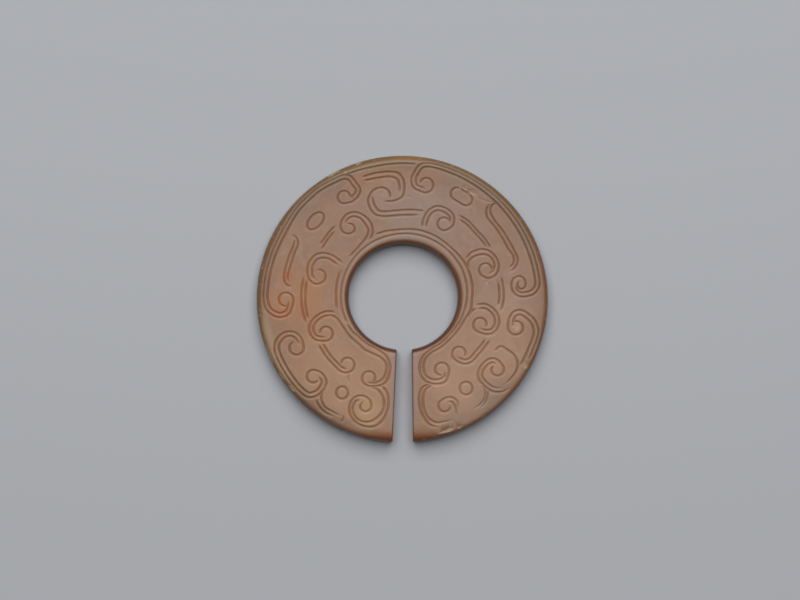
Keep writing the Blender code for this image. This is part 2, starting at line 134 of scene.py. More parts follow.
def slit_x(side, y, away=0.0):
    """Where one wall of the slit stands at y; side is -1 for left, 1 for right."""
    t = (y - SLIT_TOP["y"]) / (SLIT_FOOT["y"] - SLIT_TOP["y"])
    middle = SLIT_TOP["middle"] * (1 - t) + SLIT_FOOT["middle"] * t
    half = SLIT_TOP["half"] * (1 - t) + SLIT_FOOT["half"] * t
    return middle + side * (half + away)


def slit_meets(side, away, centre, axes):
    """Where a slit wall meets an oval, below the oval's centre."""
    y = centre[1] - axes[1]
    for _ in range(4):  # a few rounds are enough, as the wall is nearly upright
        x = slit_x(side, y, away)
        y = centre[1] - axes[1] * sqrt(1 - ((x - centre[0]) / axes[0]) ** 2)
    return slit_x(side, y, away), y


def oval_run(first, last, centre, axes, turn):
    """Points on an oval from one corner round to another, clear of both."""
    start, end = (atan2((p[1] - centre[1]) / axes[1], (p[0] - centre[0]) / axes[0]) for p in (first, last))
    clear = turn * CORNER / axes[0]
    sweep = (end - start) % (turn * 2 * pi) - 2 * clear
    angles = start + clear + sweep * np.linspace(0, 1, DISC_COUNT if turn > 0 else BORE_COUNT)
    return [(centre[0] + axes[0] * cos(a), centre[1] + axes[1] * sin(a)) for a in angles]


def wall_run(side, start, end, away):
    """Points along a slit wall, clear of both corners."""
    step = CORNER if end > start else -CORNER
    return [(slit_x(side, y, away), y) for y in np.linspace(start + step, end - step, WALL_COUNT)]


def eased_corner(corner, before, after):
    """A small curve in place of a corner."""
    b, c, a = np.array(before), np.array(corner), np.array(after)
    return [tuple(b * (1 - t) ** 2 + 2 * c * t * (1 - t) + a * t * t) for t in CORNER_STEPS]


def ring_line(disc_in, bore_in, slit_in):
    """The closed outline, moved into the stone by three distances."""
    disc = [a - disc_in for a in DISC]
    bore = [a + bore_in for a in BORE]
    foot = {side: slit_meets(side, slit_in, MIDDLE, disc) for side in (-1, 1)}
    neck = {side: slit_meets(side, slit_in, BORE_MIDDLE, bore) for side in (-1, 1)}
    runs = [
        (oval_run(foot[1], foot[-1], MIDDLE, disc, 1), foot[-1]),
        (wall_run(-1, foot[-1][1], neck[-1][1], slit_in), neck[-1]),
        (oval_run(neck[-1], neck[1], BORE_MIDDLE, bore, -1), neck[1]),
        (wall_run(1, neck[1][1], foot[1][1], slit_in), foot[1]),
    ]
    line = []
    for i, (points, corner) in enumerate(runs):
        line += points + eased_corner(corner, points[-1], runs[(i + 1) % 4][0][0])
    return np.array(line)


OUTLINE = ring_line(0, 0, 0)
print("outline:", len(OUTLINE), "points")

# %% [markdown]
# ## Softly rounded edges
#
# The rim and the bore were ground round, and the slit was sawn last, so its
# edges are only just broken. The upper face is a height for every place in the
# plan: full thickness, less a quarter oval where the place is near an edge. By
# hand no rounding comes out even: the rim's is wider at the top and a little on
# the left, the bore's is wider on the right, and the two horns beside the slit
# are worn down further at their tips.

# %% The height of the upper face
RIM_ROUND = {"wide": 1.1, "deep": 1.4}
RIM_LEAN = (-0.005, 0.013)
BORE_ROUND = {"wide": 1.0, "deep": 1.15}
BORE_LEAN = 0.013
SLIT_ROUND = {"wide": 0.28, "deep": 0.3}
HORN_WEAR = 1.1
HORN_WEAR_REACH = 5.5
SWELL = 0.02
SWELL_BENDS = (0.31, 0.27)
SWELL_SHIFT = 0.8


def way_in(x, y, centre, axes, turn):
    """How far a place is inside an oval (turn 1) or outside it (turn -1)."""
    x, y, away = x - centre[0], y - centre[1], 0.0
    for _ in range(5):  # each round comes closer to the true distance
        a, b = axes[0] - turn * away, axes[1] - turn * away
        reach = np.sqrt((x / a) ** 2 + (y / b) ** 2)
        away = away + turn * (1 - reach) * (a + b) / 2
    return away


def ways_in(x, y):
    """How far a place is into the stone from the rim, from the bore and from the slit."""
    from_slit = np.where(y < 0, np.maximum(slit_x(-1, y) - x, x - slit_x(1, y)), THICK)
    return way_in(x, y, MIDDLE, DISC, 1), way_in(x, y, BORE_MIDDLE, BORE, -1), from_slit


def rounding(away, wide, deep):
    """How far a rounded edge has dropped at a distance from the outline."""
    u = np.clip(1 - away / wide, 0, 1)
    return deep * (1 - np.sqrt(1 - u * u))


def rim_reach(x, y):
    """How wide the rim's rounding is at a place."""
    worn_tip = HORN_WEAR * np.exp(-((x / HORN_WEAR_REACH) ** 2)) * (y < 0)
    return RIM_ROUND["wide"] + RIM_LEAN[0] * x + RIM_LEAN[1] * y + worn_tip


def bore_reach(x):
    """How wide the bore's rounding is at a place."""
    return BORE_ROUND["wide"] + BORE_LEAN * x


def face_height(x, y):
    """The height of the uncut upper face."""
    from_rim, from_bore, from_slit = ways_in(x, y)
    drop = rounding(from_rim, rim_reach(x, y), RIM_ROUND["deep"])
    drop += rounding(from_bore, bore_reach(x), BORE_ROUND["deep"])
    drop += rounding(from_slit, **SLIT_ROUND)
    swell = SWELL * (np.sin(SWELL_BENDS[0] * x + SWELL_SHIFT) * np.sin(SWELL_BENDS[1] * y) - 1)
    return THICK - drop + swell * np.clip(1 - drop, 0, 1)


print("edge drops:", RIM_ROUND["deep"], BORE_ROUND["deep"], SLIT_ROUND["deep"], "mm")

# %% [markdown]
# ## Drawing a scroll
#
# A carver draws a scroll as a few easy bends that end in a round eye. Here a
# bend is a handful of points with a smooth curve through them, and an eye is a
# short spiral. A ribbon is a cut with a second, shorter cut beside it. The
# carver pressed harder on the horns than round the rim and the bore, so each
# point of a line also carries how firm the cut is there.

# %% Tools for drawing the cuts
RIBBON = 0.78
RUN_OUT = 0.7
RUN_OUT_SHAPE = 0.6
STEP = 0.1
SPIRAL_STEP = 24
CURVE_STEPS = 12
TWIN_STRIDE = 9
FIRM_BY_HEIGHT = (-10, 6), (1.2, 0.85)
FIRM_BY_EDGE = (1.2, 2.6), (0.8, 1.0)
cuts = []


def arc(centre, start_radius, end_radius, start, end, step=SPIRAL_STEP):
    """Points of a spiral about a centre, between two directions in degrees."""
    count = max(2, round(abs(end - start) / step))
    points = []
    for i in range(count + 1):
        t = i / count
        angle = radians(start + (end - start) * t)
        radius = start_radius + (end_radius - start_radius) * t
        points.append((centre[0] + radius * cos(angle), centre[1] + radius * sin(angle)))
    return points


def along(line):
    """The distance of each point of a line from its start."""
    return np.r_[0, np.cumsum(np.linalg.norm(np.diff(line, axis=0), axis=1))]


def leftward(line):
    """The direction to the left of a line at each of its points."""
    ahead = np.gradient(line, axis=0)
    ahead /= np.linalg.norm(ahead, axis=1)[:, None]
    return np.c_[-ahead[:, 1], ahead[:, 0]]


def smooth(points, spacing=STEP):
    """An even run of points along a smooth curve through the given ones."""
    p = np.array(points, float)
    p = np.vstack([2 * p[0] - p[1], p, 2 * p[-1] - p[-2]])
    curve = []
    for a, b, c, d in zip(p, p[1:], p[2:], p[3:]):
        t1 = np.linalg.norm(b - a) ** 0.5
        t2 = t1 + np.linalg.norm(c - b) ** 0.5
        t3 = t2 + np.linalg.norm(d - c) ** 0.5
        for t in np.linspace(t1, t2, CURVE_STEPS, endpoint=False):
            ab = a + (b - a) * t / t1
            bc = b + (c - b) * (t - t1) / (t2 - t1)
            cd = c + (d - c) * (t - t2) / (t3 - t2)
            abc = ab + (bc - ab) * t / t2
            bcd = bc + (cd - bc) * (t - t1) / (t3 - t1)
            curve.append(abc + (bcd - abc) * (t - t1) / (t2 - t1))
    curve = np.array([*curve, p[-2]])
    run = along(curve)
    even = np.linspace(0, run[-1], max(2, round(run[-1] / spacing)) + 1)
    return np.c_[np.interp(even, run, curve[:, 0]), np.interp(even, run, curve[:, 1])]


def firmness(x, y):
    """How firm a cut is at a place: bold on the horns, fine round the rim and the bore."""
    from_edge = np.minimum(*ways_in(x, y)[:2])
    return np.interp(y, *FIRM_BY_HEIGHT) * np.interp(from_edge, *FIRM_BY_EDGE)


def cut(points, run_out=(RUN_OUT, RUN_OUT), strength=1.0):
    """One wheel cut, which grows shallow over some length at each end."""
    line = smooth(points)
    run = along(line)
    fade = np.minimum(run / run_out[0], (run[-1] - run) / run_out[1])
    cuts.append((line, strength * firmness(*line.T) * np.clip(fade, 0, 1) ** RUN_OUT_SHAPE))
    return line


def ribbon(points, side, short, gap=RIBBON, tail=(), run_out=(RUN_OUT, RUN_OUT)):
    """A cut and the twin beside it, short of it by some length at each end."""
    line = cut(points, run_out)
    run = along(line)
    kept = (run >= short[0]) & (run <= run[-1] - short[1])
    twin = (line + side * gap * leftward(line))[kept]
    cut([*twin[:-1:TWIN_STRIDE], *(tail or [twin[-1]])], run_out)


def roundel(centre, half_sizes, tilt=0):
    """A closed oval cut."""
    c, s = cos(radians(tilt)), sin(radians(tilt))
    ring = [(half_sizes[0] * x, half_sizes[1] * y) for x, y in arc(MIDDLE, 1, 1, 0, 360)]
    line = smooth([(centre[0] + c * x - s * y, centre[1] + s * x + c * y) for x, y in ring])
    cuts.append((line, firmness(*line.T)))


print("a cut has a point every", STEP, "mm and runs out over", RUN_OUT, "mm")

# %% [markdown]
# ## The scrolls along the rim
#
# Long ribbons follow the disc's edge. The two upper ones start and end in a
# curled eye: one goes from nine o'clock up to eleven, one from half past twelve
# down to three. Below them a C on each side leads towards the horns. The
# stretches that follow the disc are arcs about its middle, and most eyes are
# arcs about theirs. Where the lines near the edge at the lower right they are
# worn away, so they run out over a greater length there.

# %% Cut the rim scrolls
WORN_RUN_OUT = 2.5

ribbon(
    [*arc((-20.85, -0.2), 1.1, 1.4, -75, -370), (-19.75, -1.6), (-20.2, -2.65), (-21.4, -3.3),
     (-22.8, -3.15), (-24.1, -2.2), (-24.75, -0.7), *arc(MIDDLE, 24.88, 24.68, 177, 150, 13),
     *arc(MIDDLE, 25.0, 25.02, 140, 127, 13), (-12.3, 21.45), (-10.6, 22.15), (-9.3, 21.95),
     (-8.3, 20.8), (-7.5, 19.5), (-7.9, 18.3), (-9.1, 17.3),
     *arc((-10.4, 18.15), 1.15, 1.1, -70, -345), (-8.75, 17.75)],
    -1, (6.6, 7.2))
cut([*arc(MIDDLE, 24.4, 24.15, 115, 103, 6), *arc(MIDDLE, 24.17, 24.25, 97, 84, 7)])
ribbon(
    [(21.0, 3.2), (20.6, 2.7), (20.8, 1.95), (21.5, 1.75), (22.0, 2.4), (21.95, 3.2), (21.4, 3.9),
     (20.6, 4.0), (19.8, 3.5), (19.5, 2.5), (19.8, 1.3), (20.7, 0.5), (22, 0.38), (23.5, 0.85),
     (24.4, 2.0), *arc(MIDDLE, 24.75, 24.85, 9, 78, 12), (3.4, 24.15), (2.2, 22.8), (1.6, 21.3),
     (2.0, 19.9), *arc((4.2, 20.4), 1.5, 1.05, -125, 175)],
    1, (7.6, 6.1))
ribbon(
    [*arc((-18.95, -8.75), 1.15, 1.35, 113, 375), (-18.1, -7), (-19.4, -5.95), (-21.2, -6.1),
     (-22.6, -7.5), (-22.85, -9), (-22.3, -10.75), (-21.2, -12.85), (-19.9, -14.8), (-18.4, -16.55),
     (-16.8, -17.6), (-15, -17.15), (-13.85, -15.8), (-13.58, -14.6), (-14.4, -13.3),
     *arc((-15.9, -13.95), 1.25, 0.98, 65, 330)],
    1, (6.3, 6.2), 0.82)
ribbon(
    [*arc((20.35, -5.1), 1.0, 1.5, 135, -192), (19.1, -3.5), (19.8, -2.4), (21.1, -2.0),
     (22.6, -2.75), (23.8, -4), (24.35, -5.8), (24, -7.5), (23.4, -9), (22.6, -10.9)],
    -1, (7.0, 0.0), 0.85, tail=[(21.5, -11.1), (21.1, -12)])
ribbon(
    [*arc((16.95, -12.65), 0.95, 1.25, 125, 410), (17.1, -11), (16, -10.65), (14.6, -11.4),
     (13.6, -13), (13.6, -14.2), (14.3, -15.2), (15.3, -16.1), (16.5, -16.62), (18, -16.55),
     (19, -15.95)],
    1, (6.3, 1.2), 0.75, run_out=(RUN_OUT, WORN_RUN_OUT))
cut([(16.5, -9.3), (17.6, -8.5), (18.9, -9.2), (20.1, -10.2), (20.6, -11.5), (20.3, -13),
     (19.4, -14.2), (18.3, -15.3)], (RUN_OUT, WORN_RUN_OUT))
print("cuts so far:", len(cuts))

# %% [markdown]
# ## The slim leaves
#
# Between the rim ribbons and the inner scrolls lie two long narrow leaves, one
# on each side. Each is two cuts that draw together at the lower end.

# %% Cut the leaves
LIGHT = 0.9

cut([(-19.7, 11.5), (-18.85, 10.8), (-18.65, 9.7), (-19.3, 8), (-20, 5.8), (-20.5, 4),
     (-20.4, 3)], strength=LIGHT)
cut([(-19.25, 10.6), (-19.4, 9.7), (-20.3, 7.4), (-21, 5), (-21.15, 3.6), (-20.7, 2.5),
     (-19.7, 2.25)], strength=LIGHT)
cut([(17.3, 17.15), (16.4, 17.0), (15.85, 16.4), (15.75, 15.5), (16.5, 14), (17.9, 12.2),
     (19.2, 10.1), (20.2, 8.2), (20.65, 7.1), (20.4, 6), (19.45, 4.9)])
cut([(15.5, 16.9), (15, 15.8), (15.2, 14.5), (16.5, 12.9), (17.8, 11), (18.9, 9), (19.85, 7.5),
     (19.9, 6.5), (19.2, 5.5)])
print("cuts so far:", len(cuts))

# %% [markdown]
# ## The lines round the bore
#
# Two cuts circle the bore and sweep out into each horn, where they curl into an
# eye. The outer one is broken where a scroll leaves it.

# %% Cut the bore lines
cut([*arc(BORE_MIDDLE, 11.1, 11.2, 205, 100, 15), *arc(BORE_MIDDLE, 11.3, 11.6, 85, 25, 15),
     *arc(BORE_MIDDLE, 11.55, 11.45, 14, 2, 12), *arc(BORE_MIDDLE, 11.25, 10.75, -10, -38, 14),
     (7, -7.85), (5, -9.1), (3.8, -10.2), (3.15, -11.6), (3.2, -13.3), (4.1, -14.7),
     (5.5, -15.2), (6.6, -15.2), (7.7, -14.8), *arc((6.95, -12.7), 1.45, 0.9, -20, 285)])
cut([(-4.8, 11.5), (-3, 12.05), (0, 12.4), (2, 12.4), (4, 12), (6, 11.15), (8, 9.75), (10, 7.9),
     (11.4, 6), (12.2, 4), (12.55, 2), (12.45, 0), (12.2, -2), (11.3, -3.5), (10.1, -5.4),
     (9, -6.75), (7, -8.6), (5, -9.8), (4, -11), (3.8, -12.4), (4.3, -13.8), (5.6, -14.45),
     (6.8, -14.3), (7.5, -13.8), (7.6, -13)])
cut([*arc(BORE_MIDDLE, 11.1, 11.0, 206, 215, 9), (-8, -6.6), (-6.4, -8), (-4.2, -9.2),
     (-3, -10.1), (-2.3, -11.4), (-2.2, -12.7), (-2.6, -14.3), (-3.4, -15.25), (-4.6, -15.6),
     *arc((-5.9, -14.15), 1.4, 0.95, -100, -420)])
cut([(-6.2, -14.95), (-4.7, -15.0), (-3.4, -14.2), (-2.85, -12.7), (-3, -11.4), (-3.9, -10.5),
     (-5, -9.95), (-6.7, -9.1), (-7.8, -8.1), (-9.1, -7), (-10, -5.9), (-10.8, -4.7),
     (-11.6, -3.6), (-12.5, -3.05), (-13.4, -2.95)])
cut([(-11.2, 4.75), (-11.65, 3), (-11.85, 0.5), (-11.7, -1.9)])
cut([(13.2, -1.75), (12.4, -2.2), (11.4, -3.4)])
print("cuts so far:", len(cuts))

# %% [markdown]
# ## The upper scrolls
#
# Above the bore one ribbon hooks down from the rim and another rises to meet
# it, with a scroll on each side of the pair. More scrolls fill the shoulders,
# with short pairs of cuts and two ovals between them.

# %% Cut the upper scrolls
cut([(-7.2, 21.75), (-5, 22.4), (-2, 22.7), (-0.6, 22.35), (0.2, 21.2), (0.35, 19.6), (0, 18.3),
     (-1.5, 17.5), (-3.2, 17.45)])
cut([(-6.9, 21.1), (-4, 21.65), (-2, 21.8), (-0.8, 21.2), (-0.5, 19.8), (-0.5, 19.05)])
cut([(-2.1, 17.9), (-2.4, 19.2), (-3.4, 19.85), (-5, 19.5), (-6.1, 17.8), (-5.8, 16.3),
     (-4.9, 15.1), (-3.6, 14.75), (0, 14.95), (2.8, 15.0)])
cut([(-5.4, 18.3), (-4.95, 16.7), (-4.1, 15.7), (-3, 15.6), (0, 15.85), (2, 15.9), (3.9, 15.7)])
cut([(-5.8, 10.5), (-5.3, 12), (-5.6, 13.5), (-6.8, 14.8), (-8.3, 15.45), (-9.8, 15.15),
     (-10.8, 14), (-11.05, 12.9), (-10.6, 11.95), (-9.5, 11.6), (-8.55, 12.2), (-8.8, 13.2),
     (-9.9, 13.5)])
cut([(-9.5, 7.5), (-7.8, 9.3), (-6.5, 10.9), (-6.05, 12.2), (-6.6, 13.3), (-7.6, 14.4),
     (-8.8, 14.7), (-9.8, 14.2), (-10.2, 13.5)])
ribbon([(3.55, 12.75), (3.7, 14), (4.7, 15.8), (6.2, 16.55), (7.9, 16.1), (9.1, 15), (9.25, 13.8),
        (8.9, 12.9), *arc((7.45, 13.4), 1.2, 1.1, -60, -345)], -1, (0.0, 6.8), 0.75)
ribbon([(-10.7, 6.4), (-12.3, 7.65), (-14, 8.15), (-15.6, 7.75), (-16.75, 6.3), (-16.95, 4.4),
        (-16.55, 3.3), (-15.5, 2.6), *arc((-14.95, 4.1), 1.35, 1.05, -75, 110)], 1, (0.3, 5.2), 0.85)
cut([(11.3, 7.1), (12.4, 8.3), (14.4, 8.85), (15.9, 8.3), (17, 6.9), (17.25, 5.6), (16.7, 4.3),
     (15.4, 3.65), *arc((14.95, 5.2), 1.3, 0.98, -115, -375)])
cut([(11.9, 5.4), (11.75, 6.4), (12.3, 7.2), (13.5, 7.8), (14.8, 7.9), (15.8, 7.4), (16.45, 6.2),
     (16.2, 5.1), (15.5, 4.5)])
ribbon([(-11.9, 13.1), (-13, 12.0), (-14.0, 10.65), (-14.7, 9.7)], 1, (0.75, 0.6), 0.62,
       tail=[(-14.2, 9.25), (-14.5, 8.85)])
ribbon([(10.2, 14.95), (11.85, 13.8), (13.4, 12.15), (14.55, 10.95), (15.85, 9.05)], -1, (0.4, 0.5),
       0.62)
cut([(-17.6, 3.9), (-17.95, 2), (-18.05, 0), (-17.8, -2.2), (-17.2, -4.4)])
cut([(-17.1, 3.3), (-17.3, 1), (-17.3, -1), (-16.85, -3.6)])
ribbon([(17.7, 3.9), (18.05, 2), (18.1, 0), (17.7, -2.1)], -1, (0.6, 0.7))
roundel((-15.5, 13.9), (1.85, 1.08), 47)
cut([*arc((9.75, 18.75), 1.1, 1.1, 60, 240, 20), *arc((11.4, 17.75), 1.1, 1.1, 240, 420, 20),
     (10.3, 19.7)])
print("cuts so far:", len(cuts))

# %% [markdown]
# ## The lower scrolls and the horns
#
# Each horn ends in a large C round an eye, with a small ring beside it. Here
# too the lines run out slowly where they near an edge, and the pair beside the
# right ring is faint all along.

# %% Cut the lower scrolls
LONG_RUN_OUT = 1.5
SLOW_RUN_OUT = 3.5
SLOW_START = 2.0
FAINT = 0.6
SHORT_AND_FAINT = 0.5

ribbon([(-12.05, -2.4), (-13, -2.25), (-14.1, -2.4), (-15.9, -3.6), (-16.65, -5.1), (-16.4, -6.4),
        (-15.5, -7.35), *arc((-13.7, -6.15), 1.4, 0.98, -95, 190)], 1, (0.4, 5.8), 0.75)
ribbon([(13.2, -1.05), (14, -0.95), (15, -1.0), (16.4, -1.9), (17.2, -3.2), (17.25, -4.6),
        (16.5, -5.9), (15.3, -6.35), *arc((14, -4.6), 1.4, 1.0, -112, -395)], -1, (0.2, 6.1), 0.75)
ribbon([(-14.95, -8.2), (-13.5, -10.5), (-12.2, -11.9), (-11, -13),
        *arc((-9.9, -11.75), 1.48, 1.02, -90, 180)], 1, (0.2, 5.8), 0.75)
cut([(-9.4, -13.2), (-9.65, -14), (-9.2, -15.3)], (RUN_OUT, LONG_RUN_OUT), SHORT_AND_FAINT)
ribbon([(15.6, -7.35), (14.8, -8.6), (13.6, -10), (12.5, -11.2), (11.3, -11.65), (10.2, -11.4),
        *arc((10.2, -9.8), 1.35, 1.05, -130, -395)], -1, (0.2, 5.6), 0.75)
cut([(-3.7, -15.5), (-2.75, -16.7), (-2.45, -18.6), (-2.8, -20.3), (-3.7, -21.9), (-5.1, -22.8),
     (-7, -22.7), (-8.6, -21.75), (-9.45, -20.2), (-9.25, -18.5), (-8.4, -17.55), (-7.5, -17.3),
     (-6.6, -17.5), (-5.85, -18.1), (-5.55, -19), (-5.85, -19.85), (-6.7, -20.15), (-7.4, -19.7),
     (-7.45, -18.9), (-7, -18.5)])
cut([(-5.8, -15.55), (-4.2, -16.45), (-3.4, -17.75), (-3.3, -19.35), (-4.2, -20.95),
     (-5.8, -21.95), (-7.6, -21.75), (-8.6, -20.7), (-8.85, -19.35), (-8.3, -18.3), (-7.6, -18)])
cut([(4.9, -15.2), (3.6, -15.9), (3, -17.4), (3.1, -19.2), (3.8, -21.1), (4.8, -22.4),
     (6.2, -22.95)], (RUN_OUT, LONG_RUN_OUT))
cut([(5.2, -15.4), (4.1, -16.3), (3.7, -18), (4, -20), (4.9, -21.5), (6.2, -22.1), (7.6, -21.9),
     (9, -21.6)], (RUN_OUT, SLOW_RUN_OUT))
cut([(9.95, -19.6), (9.85, -18.35), (9, -17.68), (8.1, -17.6),
     *arc((7.6, -19.15), 1.2, 0.95, 110, 365)], (SLOW_START, RUN_OUT))
cut([(8.2, -18.4), (8.8, -18.4), (9.5, -19.3), (9.75, -20.8)], (RUN_OUT, LONG_RUN_OUT))
cut([(-15.4, -17.9), (-14.8, -19.2), (-13.7, -20.3), (-12.4, -20.95)], (RUN_OUT, LONG_RUN_OUT))
cut([(-14.05, -15.9), (-14.5, -17.55), (-13.85, -19.25), (-12.5, -20.1), (-11, -20.9)],
    (RUN_OUT, WORN_RUN_OUT))
cut([(14.3, -15.3), (14.8, -16.5), (14.6, -17.9), (13.7, -19.0), (12.8, -19.6)],
    (RUN_OUT, LONG_RUN_OUT), FAINT)
cut([(15.3, -16.2), (15.25, -17.2), (14.8, -18.5), (13.9, -19.5)], (RUN_OUT, LONG_RUN_OUT), FAINT)
roundel((-10.75, -16.8), (1.05, 1.1))
roundel((11.4, -16.0), (1.12, 1.15))
print("all cuts:", len(cuts), "with", round(sum(along(line)[-1] for line, _ in cuts)), "mm in all")

# %% [markdown]
# ## The chips, the crack and the scratches
#
# The stone is over two thousand years old. A few flakes have sprung from its
# rim and from the face. A flake is a shallow scoop with a wavy edge, given by
# its place, its half sizes, how it is turned and how deep it goes. A fine crack
# runs on from one of them, and there are a few short scratches: these are lines
# with a strength, like the cuts.

# %% Place the flakes and the fine lines
FLAKES = [
    # middle, half sizes, turn, depth, how pale the fresh stone is
    ((-12.3, 22.5), (1.15, 0.24), 28, 0.22, 0.8),
    ((-7.9, 24.25), (0.55, 0.2), 17, 0.2, 0.9),
    ((-10.1, 22.7), (0.24, 0.14), 20, 0.1, 0.9),
    ((-23.9, -9.7), (2.4, 0.2), -67, 0.14, 0.9),
    ((-21.7, -13.6), (0.9, 0.2), -57, 0.14, 0.8),
    ((-19.7, -15.8), (0.85, 0.35), -52, 0.18, 0.5),
    ((8.0, -23.4), (1.35, 0.34), 20, 0.22, 0.6),
    ((10.2, -22.8), (0.5, 0.2), 25, 0.2, 0.3),
    ((14.7, -20.75), (0.55, 0.25), 35, 0.2, 0.35),
    ((11.2, 19.7), (0.45, 0.15), -35, 0.07, 1.0),
    ((12.35, 18.95), (0.75, 0.3), -12, 0.06, 0.6),
    ((22.0, -11.8), (0.75, 0.4), -60, 0.1, 0.35),
    ((1.15, 18.45), (0.13, 0.1), -40, 0.05, 0.0),
    ((15.1, 3.2), (0.13, 0.1), 0, 0.08, 0.0),
]
FINE_LINES = [
    # points, strength: two lines of the crack, then the scratches
    ([(13.2, 19.2), (13.6, 18.6), (13.9, 18.0), (14.6, 17.7), (15.3, 17.45), (16.5, 17.3)], 0.4),
    ([(11.6, 19.45), (12.3, 19.5), (13.0, 19.5)], 0.6),
    ([(1.1, 18.5), (1.45, 18.15)], 0.5),
    ([(-10.5, -20.7), (-10.55, -21.4), (-10.85, -22.0)], 1.0),
    ([(-20.8, 11.2), (-19.8, 11.6)], 0.3),
]
WAVES = ((3, 0.14), (7, 0.08))
FRESH_END = 1.15
FRESH_SPAN = 0.3


def flake_place(x, y, centre, half_sizes, turn):
    """How far out a place is in a flake: 0 in the middle, 1 on its wavy edge."""
    c, s = cos(radians(turn)), sin(radians(turn))
    u = (c * (x - centre[0]) + s * (y - centre[1])) / half_sizes[0]
    v = (c * (y - centre[1]) - s * (x - centre[0])) / half_sizes[1]
    bearing = np.arctan2(v, u)
    wave = sum(size * np.sin(count * bearing + shift) for (count, size), shift in zip(WAVES, centre))
    return np.hypot(u, v) * (1 + wave)


def flaked(x, y):
    """The depth of the flakes at each place, and how much of it is fresh stone."""
    depth, fresh = np.zeros(len(x)), np.zeros(len(x))
    for centre, half_sizes, turn, deep, pale in FLAKES:
        out = flake_place(x, y, centre, half_sizes, turn)
        depth = np.maximum(depth, deep * np.sqrt(np.clip(1 - out**2, 0, 1)))
        fresh = np.maximum(fresh, pale * np.clip((FRESH_END - out) / FRESH_SPAN, 0, 1))
    return depth, fresh


print("flakes:", len(FLAKES), "- fine lines:", len(FINE_LINES))

# %% [markdown]
# ## The skin of the edges, with painted shade
#
# Handling has left a brown skin on the rim, in the bore and along the slit, and
# the same colour also paints the shade that the walls and the turned-down edges
# get. How much of it a place has goes from 0 on the flat face to 1 where the
# edge turns down. In the bore it starts with the rounding and is full half way
# across it, on the rim it starts a little later, and along the slit it is full
# only at the very edge.

# %% How much skin and painted shade a place has
SKIN_AND_SHADE_SPAN = 0.5
RIM_SKIN_AND_SHADE_LATE = 0.55


def edge_share(x, y):
    """How much of the edges' brown skin and painted shade a place has."""
    from_rim, from_bore, from_slit = ways_in(x, y)
    rim = (1 - from_rim / rim_reach(x, y)) / SKIN_AND_SHADE_SPAN - RIM_SKIN_AND_SHADE_LATE
    bore = (1 - from_bore / bore_reach(x)) / SKIN_AND_SHADE_SPAN
    slit = 1 - from_slit / SLIT_ROUND["wide"]
    return np.clip(np.maximum.reduce([rim, bore, slit]), 0, 1)


print("least skin at the outline:", edge_share(*OUTLINE.T).min().round(2), "of 1")

# %% [markdown]
# ## Points where the face needs them
#
# A plain grid would have to be very fine everywhere to show a cut half a
# millimetre wide. So the face gets rows of points that follow the rounded
# edges and rows on both sides of every cut, small patches on the flakes and
# only a loose field in between. A Delaunay triangulation joins them all.

# %% Spread the points of the face
CUT_WIDE = 0.6
CUT_DEEP = 0.14
CRACK_WIDE = 0.26
CRACK_DEEP = 0.07
BESIDE_CUT = (0.1, 0.2, 0.3, 0.39, 0.52)
BESIDE_CRACK = (CRACK_WIDE / 4, CRACK_WIDE / 2)
CRACK_STEP = 0.08
PATCH = 0.1
PATCH_FIELD = 1.3
PATCH_END = 1.2
EDGE_TURNS = range(15, 91, 15)
FIELD = 0.5
FIELD_GAP = 0.2
CLOSE_MARGIN = 0.04
FIELD_MARGIN = 0.1


def rows_beside(line, gaps, every):
    """Points on a line and at some gaps on both sides of it."""
    spots, side = line[::every], leftward(line)[::every]
    offsets = sorted({0.0, *gaps, *(-gap for gap in gaps)})
    return np.vstack([spots + side * offset for offset in offsets])


def field(spacing, centre=MIDDLE, reach=DISC[0]):
    """An even three-way field of points round a centre."""
    points = []
    for row, y in enumerate(np.arange(-reach, reach, spacing * sqrt(3) / 2)):
        x = np.arange(-reach, reach, spacing) + spacing / 2 * (row % 2)
        points.append(np.c_[x + centre[0], np.full(len(x), y + centre[1])])
    return np.vstack(points)


def inside(points, margin):
    """Only the points that are further into the stone than the margin, and off the corners."""
    x, y = points.T
    keep = np.minimum.reduce(ways_in(x, y)) > margin
    for side in (-1, 1):
        for centre, axes in ((MIDDLE, DISC), (BORE_MIDDLE, BORE)):
            corner = slit_meets(side, 0, centre, axes)
            keep &= np.hypot(x - corner[0], y - corner[1]) > CORNER
    return points[keep]


def clear_of(points, others, gap):
    """Only the points that have none of the others near them."""
    taken = {(int(i), int(j)) for i, j in np.floor(others / gap)}
    keep = []
    for p, (i, j) in zip(points, np.floor(points / gap)):
        if not any((int(i) + a, int(j) + b) in taken for a in (-1, 0, 1) for b in (-1, 0, 1)):
            keep.append(p)
    return np.array(keep)


edge_rows = [
    ring_line(*(e["wide"] * (1 - cos(radians(turn))) for e in (RIM_ROUND, BORE_ROUND, SLIT_ROUND)))
    for turn in EDGE_TURNS
]
cut_rows = [rows_beside(line, BESIDE_CUT, 2) for line, _ in cuts]
crack_lines = [(smooth(points, CRACK_STEP), strength) for points, strength in FINE_LINES]
crack_rows = [rows_beside(line, BESIDE_CRACK, 1) for line, _ in crack_lines]
patches = []
for centre, half_sizes, turn, *_ in FLAKES:
    patch = field(PATCH, centre, PATCH_FIELD * max(half_sizes))
    patches.append(patch[flake_place(*patch.T, centre, half_sizes, turn) < PATCH_END])
close = inside(np.vstack([*edge_rows, *cut_rows, *crack_rows, *patches]), CLOSE_MARGIN)
loose = inside(clear_of(field(FIELD), close, FIELD_GAP), FIELD_MARGIN)
spots = np.vstack([OUTLINE, close, loose])
print("points on the face:", len(spots), "of which in the loose field:", len(loose))

# %% [markdown]
# ## The blank
#
# The blank is the ring before carving: the face with its rounded edges and
# flakes, walls that go straight down from it, and a plainer underside that is
# rounded a little and then flat, where the ring rests.

